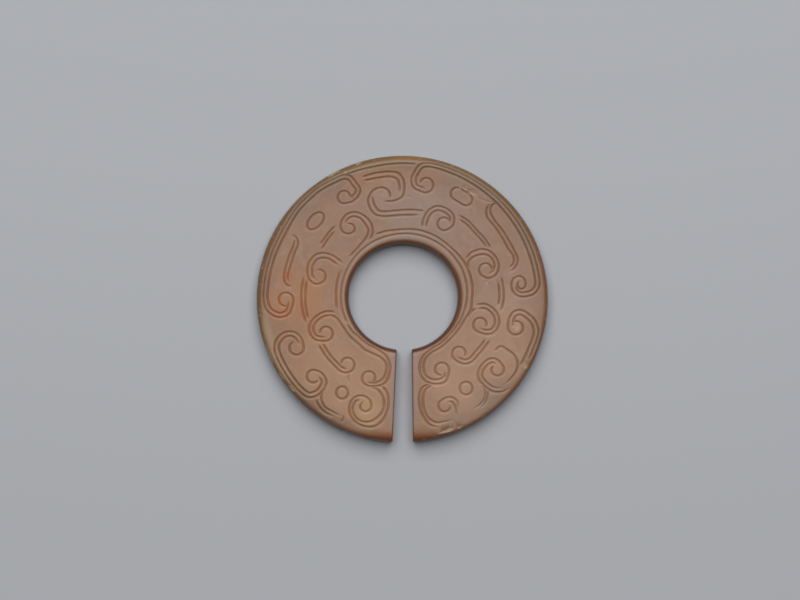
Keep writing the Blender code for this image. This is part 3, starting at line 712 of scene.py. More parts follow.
# %% Build the blank
UNDER_ROUND = {"disc": (0.7, 0.9), "bore": (0.5, 0.7), "slit": (0.25, 0.3)}
UNDER_TURNS = (0, 22, 45, 67, 90)
UNDER_FIELD = 1.5
UNDER_MARGIN = 1.2
WALL_SHARES = (0, 0.33, 0.66)
SAME = 0.03
SEAM = 0.01


def by_edge(disc, bore, slit):
    """One number for each point of the outline, by the kind of edge it is on."""
    runs = [(disc, DISC_COUNT), (slit, WALL_COUNT), (bore, BORE_COUNT), (slit, WALL_COUNT)]
    values = []
    for i, (value, count) in enumerate(runs):
        corner = np.linspace(value, runs[(i + 1) % 4][0], len(CORNER_STEPS) + 2)[1:-1]
        values += [value] * count + list(corner)
    return np.array(values)


def triangles(points, loop):
    """Delaunay triangles of points, kept inside the closed loop that the first of them make."""
    edges = [(i, (i + 1) % loop) for i in range(loop)]
    inside_only = 1
    found, _, faces, *_ = delaunay_2d_cdt([Vector(p) for p in points], edges, [], inside_only, SAME)
    return np.array([tuple(p) for p in found]), faces


def wall_rows():
    """Closed rows of points from the edge of the face, down the wall and under it."""
    under = [UNDER_ROUND[name] for name in ("disc", "bore", "slit")]
    top = face_height(*OUTLINE.T) - flaked(*OUTLINE.T)[0]
    foot = by_edge(*(fall for _, fall in under))
    made = [np.c_[OUTLINE, top + (foot - top) * share] for share in WALL_SHARES]
    for turn in UNDER_TURNS:
        line = ring_line(*(run * (1 - cos(radians(turn))) for run, _ in under))
        made.append(np.c_[line, foot * (1 - sin(radians(turn)))])
    return made


face_spots, face_triangles = triangles(spots, len(OUTLINE))
flake_depth, fresh = flaked(*face_spots.T)
rows = wall_rows()
under_plan = np.vstack([rows[-1][:, :2], inside(field(UNDER_FIELD), UNDER_MARGIN)])
under_spots, under_triangles = triangles(under_plan, len(OUTLINE))

upper_face = np.c_[face_spots, face_height(*face_spots.T) - flake_depth]
underside = np.c_[under_spots, np.zeros(len(under_spots))]
points = [upper_face, *rows, underside]
starts = np.cumsum([0, *(len(p) for p in points)])
faces = [list(f) for f in face_triangles]
for upper, lower in zip(starts[1:], starts[2:-2]):
    for i in range(len(OUTLINE)):
        j = (i + 1) % len(OUTLINE)
        faces.append([upper + i, lower + i, lower + j, upper + j])
faces += [[starts[-2] + i for i in f] for f in under_triangles]
stone = new_object("slit_ring_stone", np.vstack(points), faces=faces)
print("blank:", len(stone.data.vertices), "points,", len(stone.data.polygons), "faces")

# %% [markdown]
# Two numbers go with the blank's points for the colours later: where a chip
# laid fresh stone bare, and how much brown skin and painted shade there is. The
# walls and the underside have the full skin and painted shade all over and no chips.

# %% Keep the chips, and the skin with its painted shade
# Besides the brown skin, this share paints shade on the walls, the underside and the edges that turn down.
skin_and_shade_share = edge_share(*face_spots.T)
others = starts[-1] - len(face_spots)
add_values(stone, "chip", np.r_[fresh, np.zeros(others)])
add_values(stone, "edge", np.r_[skin_and_shade_share, np.ones(others)])
print("points with skin:", round(100 * (skin_and_shade_share > 0).mean()), "in a hundred on the face")

# %% [markdown]
# The face, the wall and the underside were made apart, so their shared points
# are there twice. They are merged, and the faces turned to point outwards.

# %% Close the blank
shell = bmesh.new()
shell.from_mesh(stone.data)
bmesh.ops.remove_doubles(shell, verts=shell.verts, dist=SEAM * MM)
bmesh.ops.recalc_face_normals(shell, faces=shell.faces)
volume = shell.calc_volume() / MM**3
shell.to_mesh(stone.data)
shell.free()
print("volume:", round(volume), "cubic mm; open edges:", open_edges(stone.data))

# %% [markdown]
# ## Small helpers for node trees
#
# Both Geometry Nodes and materials are graphs of nodes. One helper adds a node,
# sets its options and fills its sockets with plain values or with other nodes'
# outputs, so that a tree reads from top to bottom like a recipe. The others are
# short names for the few nodes that both kinds of tree use.

# %% Node helpers
def add(tree, kind, sockets=(), **options):
    """A new node; sockets maps an input's name or number to a value or to another node's output."""
    made = tree.nodes.new(kind)
    for name, value in options.items():
        setattr(made, name, value)
    for key, value in dict(sockets).items():
        if isinstance(value, bpy.types.NodeSocket):
            tree.links.new(value, made.inputs[key])
        else:
            made.inputs[key].default_value = value
    return made


def reckon(tree, operation, *values):
    """One Math node's result."""
    return add(tree, "ShaderNodeMath", dict(enumerate(values)), operation=operation).outputs[0]


def product(tree, *values):
    """All the values multiplied together."""
    result = values[0]
    for value in values[1:]:
        result = reckon(tree, "MULTIPLY", result, value)
    return result


def eased(tree, value, low, high, to_low=0.0, to_high=1.0):
    """A value brought from one range into another, with soft ends."""
    ends = {"Value": value, "From Min": low, "From Max": high, "To Min": to_low, "To Max": to_high}
    return add(tree, "ShaderNodeMapRange", ends, interpolation_type="SMOOTHSTEP").outputs[0]


def scaled(tree, vector, factor):
    """A vector made longer or shorter."""
    return add(tree, "ShaderNodeVectorMath", {0: vector, "Scale": factor}, operation="SCALE").outputs[0]


def in_plan(tree, vector, stretch=(1, 1)):
    """A place without its height."""
    return add(tree, "ShaderNodeVectorMath", {0: vector, 1: (*stretch, 0)}, operation="MULTIPLY").outputs[0]


print("helpers ready")

# %% [markdown]
# Geometry Nodes need a few more: a tree with named inputs, an ending, and ways
# to read a number from the points of a mesh and to keep one on them.

# %% Helpers for Geometry Nodes
def new_tree(name, inputs):
    """A tree with a stone coming in, some named inputs, and a stone going out."""
    tree = bpy.data.node_groups.new(name, "GeometryNodeTree")
    tree.interface.new_socket("Stone", in_out="INPUT", socket_type="NodeSocketGeometry")
    for label, kind in inputs:
        tree.interface.new_socket(label, in_out="INPUT", socket_type="NodeSocket" + kind)
    tree.interface.new_socket("Stone", in_out="OUTPUT", socket_type="NodeSocketGeometry")
    return tree, tree.nodes.new("NodeGroupInput").outputs


def end_tree(tree, stone, finish):
    """Ends a tree the way an export needs it: no instances left, and a material on every face."""
    real = add(tree, "GeometryNodeRealizeInstances", {"Geometry": stone})
    covered = add(tree, "GeometryNodeSetMaterial", {"Geometry": real.outputs[0], "Material": finish})
    add(tree, "NodeGroupOutput", {0: covered.outputs[0]})


def use_tree(thing, tree, **values):
    """Puts a tree on an object and sets its inputs by their identifiers."""
    modifier = thing.modifiers.new(tree.name, "NODES")
    modifier.node_group = tree
    ids = {item.name: item.identifier for item in tree.interface.items_tree if item.in_out == "INPUT"}
    for label, value in values.items():
        modifier[ids[label.replace("_", " ")]] = value


def known(tree, name):
    """A number that is kept on the points of a mesh."""
    return add(tree, "GeometryNodeInputNamedAttribute", {"Name": name}, data_type="FLOAT").outputs[0]


def known_at(tree, things, name, place):
    """The number that the nearest point of some other mesh has."""
    which = add(tree, "GeometryNodeSampleNearest", {"Geometry": things, "Sample Position": place})
    wanted = {"Geometry": things, "Value": known(tree, name), "Index": which.outputs[0]}
    return add(tree, "GeometryNodeSampleIndex", wanted, data_type="FLOAT").outputs[0]


def keep(tree, stone, name, value):
    """The mesh with a number kept on its points."""
    kept = {"Geometry": stone, "Name": name, "Value": value}
    return add(tree, "GeometryNodeStoreNamedAttribute", kept, data_type="FLOAT", domain="POINT").outputs[0]


def keep_larger(tree, stone, name, value):
    """The mesh with the larger of its old number and a new one on each point."""
    return keep(tree, stone, name, reckon(tree, "MAXIMUM", known(tree, name), value))


def moved(tree, things, offset):
    """The points of a mesh or a cloud, moved."""
    return add(tree, "GeometryNodeSetPosition", {"Geometry": things, "Offset": offset}).outputs[0]


print("helpers for Geometry Nodes ready")

# %% [markdown]
# ## Cutting along the lines
#
# A wheel cut follows a drawn line. It could be swept along it and taken away
# with a Boolean, but dozens of cuts that cross each other make that slow and
# fragile, so a Geometry Nodes tree lowers the points instead. For every point of
# the stone it asks how far the nearest line is, in plan, and how firm the cut is
# there. A light cut is narrow and shallow, so it runs out gently at its ends.
# The underside lies below the same lines, so points in the lower half of the
# stone are told that there is no cut.

# %% The cutting tree: how far the nearest line is
cutting, into = new_tree(
    "Wheel cuts",
    [("Lines", "Object"), ("Cut width", "Float"), ("Cut depth", "Float"), ("Only above", "Float"),
     ("Finish", "Material")])
lines = add(cutting, "GeometryNodeObjectInfo", {"Object": into["Lines"]}).outputs["Geometry"]
here = add(cutting, "GeometryNodeInputPosition").outputs[0]
nearest = add(
    cutting, "GeometryNodeProximity", {"Geometry": lines, "Sample Position": in_plan(cutting, here)},
    target_element="EDGES").outputs
height = add(cutting, "ShaderNodeSeparateXYZ", {"Vector": here}).outputs["Z"]
on_top = reckon(cutting, "GREATER_THAN", height, into["Only above"])
strength = reckon(cutting, "MULTIPLY", known_at(cutting, lines, "strength", nearest["Position"]), on_top)
print("nodes so far:", len(cutting.nodes))

# %% [markdown]
# The profile goes from nothing at the half width to the full depth on the line,
# with soft lips and a round bottom.

# %% The cutting tree: lower the stone
LIGHT_WIDTH = 0.3
FIRM_WIDTH = 0.2
half_share = reckon(cutting, "MULTIPLY_ADD", strength, FIRM_WIDTH, LIGHT_WIDTH)
half_width = reckon(cutting, "MULTIPLY", into["Cut width"], half_share)
profile = eased(cutting, nearest["Distance"], half_width, 0.0)
down = product(cutting, profile, strength, into["Cut depth"], -1.0)
lowered = moved(cutting, into["Stone"], add(cutting, "ShaderNodeCombineXYZ", {"Z": down}).outputs[0])
print("nodes so far:", len(cutting.nodes))

# %% [markdown]
# Two numbers stay on the surface for the colours. One says how deep in a cut a
# point is, where the dark residue lies, and its colour also paints the shade in
# the cut. The other marks the crest beside the cut, where a paler colour is painted
# on as a highlight. A cut that crosses an older one keeps the larger number.

# %% The cutting tree: mark the cuts and their lips
FULL_RESIDUE_AND_SHADE = 0.75
LIP_HIGHLIGHT_CREST = 0.12
LIP_HIGHLIGHT_END = 0.4
# The crest beside a cut is marked for a painted highlight.
crest = reckon(cutting, "MULTIPLY_ADD", into["Cut width"], LIP_HIGHLIGHT_CREST, half_width)
end = reckon(cutting, "MULTIPLY_ADD", into["Cut width"], LIP_HIGHLIGHT_END, half_width)
highlight_in = eased(cutting, nearest["Distance"], half_width, crest)
highlight_out = eased(cutting, nearest["Distance"], end, crest)
marked = keep_larger(cutting, lowered, "lip", product(cutting, highlight_in, highlight_out, strength))
filled = reckon(cutting, "MULTIPLY", profile, reckon(cutting, "MINIMUM", strength, FULL_RESIDUE_AND_SHADE))
marked = keep_larger(cutting, marked, "cut", filled)
end_tree(cutting, marked, into["Finish"])
print("nodes in the cutting tree:", len(cutting.nodes))

# %% [markdown]
# ## Nicks along the rim
#
# The rim has many small nicks, at random but never two the same. A second tree
# walks along a line on the shoulder of the rim, drops a point every so often,
# shifts it a little and gives it a size of its own, most of them small. The
# seed is fixed, so the same nicks come out each time.

# %% The nicking tree: scatter the nicks
MOSTLY_SMALL = 3.0
nicking, into = new_tree(
    "Rim nicks",
    [("Shoulder", "Object"), ("Nicks", "Int"), ("Largest", "Float"), ("Scatter", "Float"),
     ("Seed", "Int"), ("Finish", "Material")])
shoulder = add(nicking, "GeometryNodeObjectInfo", {"Object": into["Shoulder"]}).outputs["Geometry"]
walk = add(nicking, "GeometryNodeMeshToCurve", {"Mesh": shoulder}).outputs[0]
dropped = add(nicking, "GeometryNodeCurveToPoints", {"Curve": walk, "Count": into["Nicks"]}, mode="COUNT")
shift = add(
    nicking, "FunctionNodeRandomValue", {0: (-1, -1, -1), 1: (1, 1, 1), "Seed": into["Seed"]},
    data_type="FLOAT_VECTOR").outputs[0]
scattered = moved(nicking, dropped.outputs[0], scaled(nicking, shift, into["Scatter"]))
chance = add(
    nicking, "FunctionNodeRandomValue",
    {2: 0.0, 3: 1.0, "Seed": reckon(nicking, "ADD", into["Seed"], 1)}, data_type="FLOAT").outputs[1]
size = reckon(nicking, "MULTIPLY", reckon(nicking, "POWER", chance, MOSTLY_SMALL), into["Largest"])
sized = keep(nicking, scattered, "size", size)
print("nodes so far:", len(nicking.nodes))

# %% [markdown]
# Each nick presses a small round hollow into the stone, against the way that
# the surface faces there, and leaves most of its stone fresh.

# %% The nicking tree: press them in
NICK_DEEP = 0.4
NICK_FRESH = 0.8
here = add(nicking, "GeometryNodeInputPosition").outputs[0]
nick_size = known_at(nicking, sized, "size", here)
near = add(nicking, "GeometryNodeProximity", {"Geometry": sized}, target_element="POINTS").outputs["Distance"]
hollow = eased(nicking, near, nick_size, 0.0)
inward = scaled(
    nicking, add(nicking, "GeometryNodeInputNormal").outputs[0],
    product(nicking, hollow, nick_size, -NICK_DEEP))
pressed = moved(nicking, into["Stone"], inward)
marked = keep_larger(nicking, pressed, "chip", reckon(nicking, "MULTIPLY", hollow, NICK_FRESH))
end_tree(nicking, marked, into["Finish"])
print("nodes in the nicking tree:", len(nicking.nodes))

# %% [markdown]
# ## The colour of the stone
#
# Nephrite is never one colour. It could be painted, but a solid colour worked
# out from the place in the stone passes right through the ring, as the real
# one does, and needs no unwrapping. All of it is in the stone's millimetres.

# %% Colour helpers
jade = bpy.data.materials.new("polished_jade")
jade.use_nodes = True
nodes = jade.node_tree
surface = nodes.nodes["Principled BSDF"]
where = scaled(nodes, add(nodes, "ShaderNodeTexCoord").outputs["Object"], 1 / MM)
plan = in_plan(nodes, where)
apart = add(nodes, "ShaderNodeSeparateXYZ", {"Vector": where}).outputs
across, up = apart["X"], apart["Y"]


def noise(size, detail=2.0, roughness=0.5, stretch=(1, 1, 1), turn=(0, 0, 0)):
    """A noise with features of about that many millimetres, from 0 to 1."""
    laid = add(nodes, "ShaderNodeMapping", {"Vector": where, "Rotation": turn, "Scale": stretch})
    looks = {"Vector": laid.outputs[0], "Scale": 1 / size, "Detail": detail, "Roughness": roughness}
    return add(nodes, "ShaderNodeTexNoise", looks).outputs["Fac"]


def distance(x, y):
    """How far a place is from a point in the plan."""
    return add(nodes, "ShaderNodeVectorMath", {0: plan, 1: (x, y, 0)}, operation="DISTANCE").outputs["Value"]


def between(*values):
    """The soft-ended range of the node helpers, in this material."""
    return eased(nodes, *values)


def times(*values):
    """Shares multiplied together, in this material."""
    return product(nodes, *values)


def blend(share, first, second):
    """Two colours mixed; on a Mix node they are inputs 6 and 7, and the result is output 2."""
    return add(nodes, "ShaderNodeMix", {0: share, 6: first, 7: second}, data_type="RGBA").outputs[2]


def stored(name):
    """A number that was kept on the surface."""
    return add(nodes, "ShaderNodeAttribute", attribute_name=name, attribute_type="GEOMETRY").outputs["Fac"]


def rgb(red, green, blue):
    """A colour from screen values of 0 to 255, made linear for the shader."""
    return (*(((c / 255 + 0.055) / 1.055) ** 2.4 for c in (red, green, blue)), 1.0)


print("a middle brown, made linear:", [round(c, 3) for c in rgb(128, 96, 64)])

# %% [markdown]
# Two browns cloud into each other. Over them lie wide soft areas, all on the line
# halfway between the bore and the rim: each has an hour, as on a clock face, and a
# radius. It is greyer above the bore, pink and then rosy down the right side, sandy
# and tan on the two horns, rusty at nine o'clock. All their tones are mixed from one
# stone colour, made lighter or warmer by round steps. Nearly all of a noise lies
# between about a third and two thirds, so a pattern that should swing all the way
# is stretched from that range.

# %% Body colour and its wide areas
STONE = (150, 114, 88)


def shade(lighter, warmer=0):
    """The stone's colour, lighter and warmer by steps of a screen value."""
    red, green, blue = STONE
    return rgb(red + lighter + warmer, green + lighter, blue + lighter - warmer)


def stained(base, tone, place, radius, strength):
    """A colour with a soft round stain over it, its edge shifted in and out by a noise."""
    away = reckon(nodes, "MULTIPLY_ADD", wander, STAIN_SHIFT * radius, distance(*place))
    share = between(away, STAIN_START * radius, STAIN_FULL * radius, 0.0, strength)
    return blend(share, base, tone)


STAIN_SHIFT = 0.9
STAIN_START = 1.45
STAIN_FULL = 0.45
CLOUDS = shade(-10), shade(-15)
NOISE_SWING = (0.35, 0.65)
HALFWAY = (BORE[0] + DISC[0]) / 2
AREAS = [
    # hour, radius, tone
    (12.5, 18, shade(-5, -10)), (3, 8, shade(5, -5)), (4, 14, shade(10)), (5, 12, shade(15)),
    (7, 18, shade(10, 5)), (9, 10, shade(-5, 15)),
]
AREA_SHARE = 0.8
colour = blend(between(noise(9, 3), *NOISE_SWING), *CLOUDS)
wander = noise(5, 3)
for hour, radius, tone in AREAS:
    turn = radians(90 - 30 * hour)
    colour = stained(colour, tone, (HALFWAY * cos(turn), HALFWAY * sin(turn)), radius, AREA_SHARE)
print("wide areas:", len(AREAS))

# %% [markdown]
# The skin of the stone stayed brown along the rim. It could be a row of stains,
# but a rule says it better: the brown grows towards the rim, reaches deeper the
# further up the ring it is, and thins out to nothing at the two sides.

# %% Brown along the rim
RIM_BROWN = shade(-25, 10)
BROWN_START, BROWN_FULL = 21, 27
BROWN_DEEPER_UP = 0.15
BROWN_SIDES = (8, 22)
BROWN_SHARE = 0.8
outward = reckon(nodes, "MULTIPLY_ADD", up, BROWN_DEEPER_UP, distance(0, 0))
outward = reckon(nodes, "ADD", outward, wander)
off_sides = between(reckon(nodes, "ABSOLUTE", up), *BROWN_SIDES)
rim_brown = times(between(outward, BROWN_START, BROWN_FULL), off_sides, BROWN_SHARE)
colour = blend(rim_brown, colour, RIM_BROWN)
print("brown along the rim, from", BROWN_START, "mm out")

# %% [markdown]
# Small stains with names from a palette come last: olive and dusky ones near the
# rim, a creamy one on the left horn, and the rust that has run along some cuts.

# %% Small stains
PALETTE = {
    "olive": rgb(112, 92, 70), "dusk": rgb(122, 103, 89), "cream": rgb(174, 142, 100),
    "honey": rgb(188, 122, 68), "rust": rgb(157, 90, 52), "bone": rgb(178, 150, 118),
}
STAINS = [
    # tone, middle, radius, strength
    ("olive", (-17, 16), 4.5, 0.5), ("olive", (-11.5, 20.5), 5, 0.55), ("olive", (9, 21), 5, 0.58),
    ("olive", (1, 24), 5, 0.45), ("olive", (15.5, 18), 5.5, 0.5), ("olive", (20.5, 12.5), 4.5, 0.3),
    ("olive", (-9, -6.5), 3, 0.3), ("dusk", (16.5, -18), 5.5, 0.5), ("dusk", (10, -21.5), 4, 0.35),
    ("cream", (-6, -20.5), 4, 0.45), ("rust", (-20.5, 4), 2.2, 0.7), ("rust", (-17.6, -2.2), 2, 0.6),
    ("rust", (-22, -2.6), 2.4, 0.5), ("bone", (20.5, -5.2), 0.9, 0.7),
]
for name, place, radius, strength in STAINS:
    colour = stained(colour, PALETTE[name], place, radius, strength)
print("small stains:", len(STAINS), "in", len(PALETTE), "tones")

# %% [markdown]
# Fine mottling covers it all, in three sizes of fleck.

# %% Mottling
DARK_FLECK = rgb(126, 95, 76)
PALE_FLECK = rgb(172, 142, 120)
FLECKS = [
    # size, detail, roughness, where a fleck starts and is full, strength, tone
    (1.1, 4, 0.6, 0.5, 0.75, 0.22, DARK_FLECK),
    (0.7, 4, 0.65, 0.58, 0.75, 0.2, PALE_FLECK),
    (2.4, 3, 0.6, 0.5, 0.7, 0.18, PALE_FLECK),
]
for size, detail, roughness, start, full, strength, tone in FLECKS:
    fleck = between(noise(size, detail, roughness), start, full)
    colour = blend(times(fleck, strength), colour, tone)
print("nodes so far:", len(nodes.nodes))

# %% [markdown]
# Towards the rim the stone is darker and yellower, least of all at the lower
# right, and at the lower left a pale painted highlight lies along the rim. Beside
# the slit and in a band round the upper part of the bore it is greyer, and painted
# shade darkens the tips of the horns. A zone is where it starts and where it is full,
# in millimetres or, towards the rim, as a share of the way from the middle. Two
# more numbers, where a zone has them, are what it goes from and to.

# %% Rim, slit, bore and horn tips
RIM_TONE = rgb(114, 88, 64)
RIM_TOP_TONE = rgb(116, 90, 56)
SLIT_TONE = rgb(146, 119, 108)
BORE_TONE = rgb(140, 121, 107)
# Red-brown of the skin, which also serves as painted shade on walls and down-turned edges.
WALL_SKIN_AND_SHADE_TONE = rgb(120, 64, 30)
RIM_ZONE, RIM_TOP_ZONE, ACROSS_RIM = (0.885, 0.955), (18, 24), (-26, -8, 0.25, 0.75)
CREST_HIGHLIGHT_ZONE, CREST_HIGHLIGHT_MIDDLE, CREST_HIGHLIGHT_REACH = (0.9, 0.945), (-23.5, -9), (10, 3)
SLIT_SIDES, SLIT_ENDS = ((3.1, 2.5), (-2.6, -2.1)), ((-9, -10.5), (-24, -21))
BORE_ZONE, BORE_UPPER = (12.1, 10.6), (-9, 0)
TIP_SHADE_ZONE, TIP_SHADE_SIDES = (-22.6, -25.2), ((12, 4), (-13, -5))
CREST_HIGHLIGHT_SHARE, SLIT_SHARE, BORE_SHARE, TIP_SHADE_SHARE = 0.4, 0.75, 0.45, 0.6
from_middle = add(
    nodes, "ShaderNodeVectorMath", {0: in_plan(nodes, where, (1 / DISC[0], 1 / DISC[1]))},
    operation="LENGTH").outputs["Value"]
from_bore = distance(*BORE_MIDDLE)
upper_left = reckon(nodes, "SUBTRACT", up, across)

rim_tone = blend(between(up, *RIM_TOP_ZONE), RIM_TONE, RIM_TOP_TONE)
near_rim = times(between(from_middle, *RIM_ZONE), between(upper_left, *ACROSS_RIM))
colour = blend(near_rim, colour, rim_tone)
# A pale painted highlight along the rim's crest at the lower left.
crest_highlight = times(between(from_middle, *CREST_HIGHLIGHT_ZONE), between(distance(*CREST_HIGHLIGHT_MIDDLE), *CREST_HIGHLIGHT_REACH))
colour = blend(times(crest_highlight, CREST_HIGHLIGHT_SHARE), colour, PALETTE["bone"])
beside_slit = times(*(between(across, *zone) for zone in SLIT_SIDES))
along_slit = times(*(between(up, *zone) for zone in SLIT_ENDS))
colour = blend(times(beside_slit, along_slit, SLIT_SHARE), colour, SLIT_TONE)
round_bore = times(between(from_bore, *BORE_ZONE), between(up, *BORE_UPPER))
colour = blend(times(round_bore, BORE_SHARE), colour, BORE_TONE)
# Painted shade: the tips of the horns, on the lower rim, are darkened.
horn_tip_shade = times(between(up, *TIP_SHADE_ZONE), *(between(across, *zone) for zone in TIP_SHADE_SIDES))
colour = blend(times(horn_tip_shade, TIP_SHADE_SHARE), colour, WALL_SKIN_AND_SHADE_TONE)
print("nodes so far:", len(nodes.nodes))

# %% [markdown]
# The brown skin of the edges, whose colour also paints their shade, follows the
# number that was kept on the points, with a noise to make it uneven. On the rim it
# is golden above and red-brown below, a little stronger at the lower right, with
# one honey patch at the top. In the bore it is a deep red-brown, and painted shade
# makes the lower wall of the bore darkest.

# %% The skin of the edges and its painted shade
UPPER_SKIN_AND_SHADE_TONE = rgb(108, 80, 46)
BORE_SKIN_AND_SHADE_TONE = rgb(104, 56, 22)
BORE_WALL_SHADE_TONE = rgb(70, 40, 26)
SKIN_AND_SHADE_WANDER = 0.3
ACROSS_SKIN_AND_SHADE, SKIN_AND_SHADE_SHARES = (-12, -30, 1.0, 1.3), (0.72, 0.9)
UPPER_LEAN, LOWER_TO_UPPER = -0.5, (-10, 8)
BORE_SKIN_AND_SHADE_ZONE = (12, 11.2)
HONEY_ZONE, HONEY_MIDDLE, HONEY_REACH = (0.955, 0.975), (1.3, 25.4), (4.5, 1.5)
BORE_WALL_SHADE_ZONE, BORE_LOWER = (10.3, 9.8), (6, -4)
HONEY_SHARE, BORE_WALL_SHADE_SHARE = 0.15, 0.75
# The skin's colours also paint the shade of the walls and of the edges that turn down.
uneven_edge = reckon(nodes, "ADD", stored("edge"), -SKIN_AND_SHADE_WANDER / 2)
uneven_edge = reckon(nodes, "MULTIPLY_ADD", noise(1.3, 3), SKIN_AND_SHADE_WANDER, uneven_edge)
uneven_edge = times(uneven_edge, between(upper_left, *ACROSS_SKIN_AND_SHADE))
skin_and_shade = times(between(uneven_edge, 0, 1), between(noise(3.5, 4, 0.6), *NOISE_SWING, *SKIN_AND_SHADE_SHARES))
upper = reckon(nodes, "MULTIPLY_ADD", across, UPPER_LEAN, up)
skin_and_shade_tone = blend(between(upper, *LOWER_TO_UPPER), WALL_SKIN_AND_SHADE_TONE, UPPER_SKIN_AND_SHADE_TONE)
skin_and_shade_tone = blend(between(from_bore, *BORE_SKIN_AND_SHADE_ZONE), skin_and_shade_tone, BORE_SKIN_AND_SHADE_TONE)
colour = blend(skin_and_shade, colour, skin_and_shade_tone)
honey = times(between(from_middle, *HONEY_ZONE), between(distance(*HONEY_MIDDLE), *HONEY_REACH))
colour = blend(times(honey, HONEY_SHARE), colour, PALETTE["honey"])
# Painted shade: the lower wall of the bore is made darkest.
bore_wall_shade = times(between(up, *BORE_LOWER), between(from_bore, *BORE_WALL_SHADE_ZONE))
colour = blend(times(bore_wall_shade, BORE_WALL_SHADE_SHARE), colour, BORE_WALL_SHADE_TONE)
print("nodes so far:", len(nodes.nodes))

# %% [markdown]
# Brown residue fills the cuts, and its colour also paints the shade in them. It is
# more orange round the rust stain and duller near the rim, and uneven, as some of
# the residue has fallen out. There is more of it near the rim, most of all in the
# outer cut, and less low on the right. The crest beside a cut gets a paler painted
# highlight, and a chip shows pale fresh stone. All three are read from the numbers
# on the surface.

# %% Residue and painted shade, lip highlights and chips
LIP_HIGHLIGHT_TONE = rgb(178, 148, 128)
RESIDUE_AND_SHADE_TONE = rgb(106, 67, 40)
RIM_RESIDUE_AND_SHADE_TONE = rgb(88, 64, 42)
IRON_RESIDUE_AND_SHADE_TONE = rgb(140, 80, 38)
FRESH = rgb(178, 157, 130)
RUST_MIDDLE, RUST_REACH, IRON_SHARES = (-18, -1), (20, 5, 0.1, 1.0), (0.4, 1.0)
RIM_RESIDUE_AND_SHADE_ZONE = (0.88, 0.94)
RIM_RESIDUE_AND_SHADE_BOOST = (0.85, 0.92, 0.88, 1.15), (0.94, 0.96, 1.0, 1.35)
LOWER_RIGHT_UP, LOWER_RIGHT_ACROSS, LOWER_RIGHT_LESS = (2, -9), (-20, 2), 0.4
FALLEN_OUT, CHIP_PATCHES = (0.2, 0.6, 0.45, 0.8), (0.3, 0.6, 0.3, 0.8)
IN_THE_CUT, LIP_HIGHLIGHT_SHARE = (0.06, 0.7), 0.2
cut_share, chip_share = stored("cut"), stored("chip")
# A paler colour painted on the crests beside the cuts, as a highlight.
colour = blend(times(stored("lip"), LIP_HIGHLIGHT_SHARE), colour, LIP_HIGHLIGHT_TONE)
iron = between(noise(4, 2), *NOISE_SWING, *IRON_SHARES)
iron = times(iron, between(distance(*RUST_MIDDLE), *RUST_REACH))
fallen_out = between(noise(0.8, 3), *FALLEN_OUT)
rim_residue_and_shade_boost = times(*(between(from_middle, *zone) for zone in RIM_RESIDUE_AND_SHADE_BOOST))
lower_right = times(between(up, *LOWER_RIGHT_UP), between(across, *LOWER_RIGHT_ACROSS))
less = times(lower_right, LOWER_RIGHT_LESS)
# The residue colour in the cuts also stands in for their shade.
residue_and_shade_share = times(fallen_out, rim_residue_and_shade_boost, reckon(nodes, "SUBTRACT", 1.0, less))
residue_and_shade = blend(between(from_middle, *RIM_RESIDUE_AND_SHADE_ZONE), RESIDUE_AND_SHADE_TONE, RIM_RESIDUE_AND_SHADE_TONE)
residue_and_shade = blend(iron, residue_and_shade, IRON_RESIDUE_AND_SHADE_TONE)
colour = blend(times(between(cut_share, *IN_THE_CUT), residue_and_shade_share), colour, residue_and_shade)
colour = blend(times(chip_share, between(noise(0.35, 3), *CHIP_PATCHES)), colour, FRESH)
nodes.links.new(colour, surface.inputs["Base Color"])
print("colour nodes:", len(nodes.nodes))

# %% [markdown]
# ## The polish
#
# Old jade has a waxy shine, softer than glass. It is duller in the cuts and on
# broken stone. A little light goes into the stone before it comes back, which
# softens the edges. Fine scratches from polishing and a faint orange-peel
# waviness are a bump, as they are far too small to model.

# %% Shine, depth of the stone and fine grain
WAXY = (0.33, 0.43)
WAXY_SWING = (0.3, 0.7)
DULL_CUT = 0.2
DULL_CHIP = 0.3
SHINE = {
    "IOR": 1.61, "Specular IOR Level": 0.33, "Subsurface Weight": 0.12,
    "Subsurface Radius": (1.0, 0.55, 0.3), "Subsurface Scale": 0.9 * MM,
}
GRAIN_SHARE, SCRATCH_SHARE, WAVE_SHARE = 0.35, 0.3, 1.2
BUMP = {"Strength": 0.25, "Distance": 0.02 * MM}
roughness = between(noise(2.5, 4, 0.6), *WAXY_SWING, *WAXY)
roughness = reckon(nodes, "MULTIPLY_ADD", cut_share, DULL_CUT, roughness)
roughness = reckon(nodes, "MULTIPLY_ADD", chip_share, DULL_CHIP, roughness)
nodes.links.new(roughness, surface.inputs["Roughness"])
for name, value in SHINE.items():
    surface.inputs[name].default_value = value

scratches = noise(0.5, 3, 0.6, stretch=(0.08, 1, 1), turn=(0, 0, 0.5))
grain = times(scratches, SCRATCH_SHARE)
grain = reckon(nodes, "MULTIPLY_ADD", noise(0.16, 4, 0.6), GRAIN_SHARE, grain)
grain = reckon(nodes, "MULTIPLY_ADD", noise(3.0, 2), WAVE_SHARE, grain)
bump = add(nodes, "ShaderNodeBump", {**BUMP, "Height": grain})
nodes.links.new(bump.outputs[0], surface.inputs["Normal"])
print("roughness on the face:", WAXY, "and in a cut up to", round(WAXY[1] + DULL_CUT * FULL_RESIDUE_AND_SHADE, 2))

# %% [markdown]
# ## Carve the stone
#
# The drawn cuts become one object of bare edges, and so do the fine lines and
# the line on the rim's shoulder. The trees read them while they carve, and then
# they are thrown away. What is left is one plain closed mesh.

# %% Lines for the trees to read
SHOULDER_IN = (0.28, 0.25, 0.1)
SHOULDER_DOWN = 0.35
CRACK_RUN_OUT = 0.25


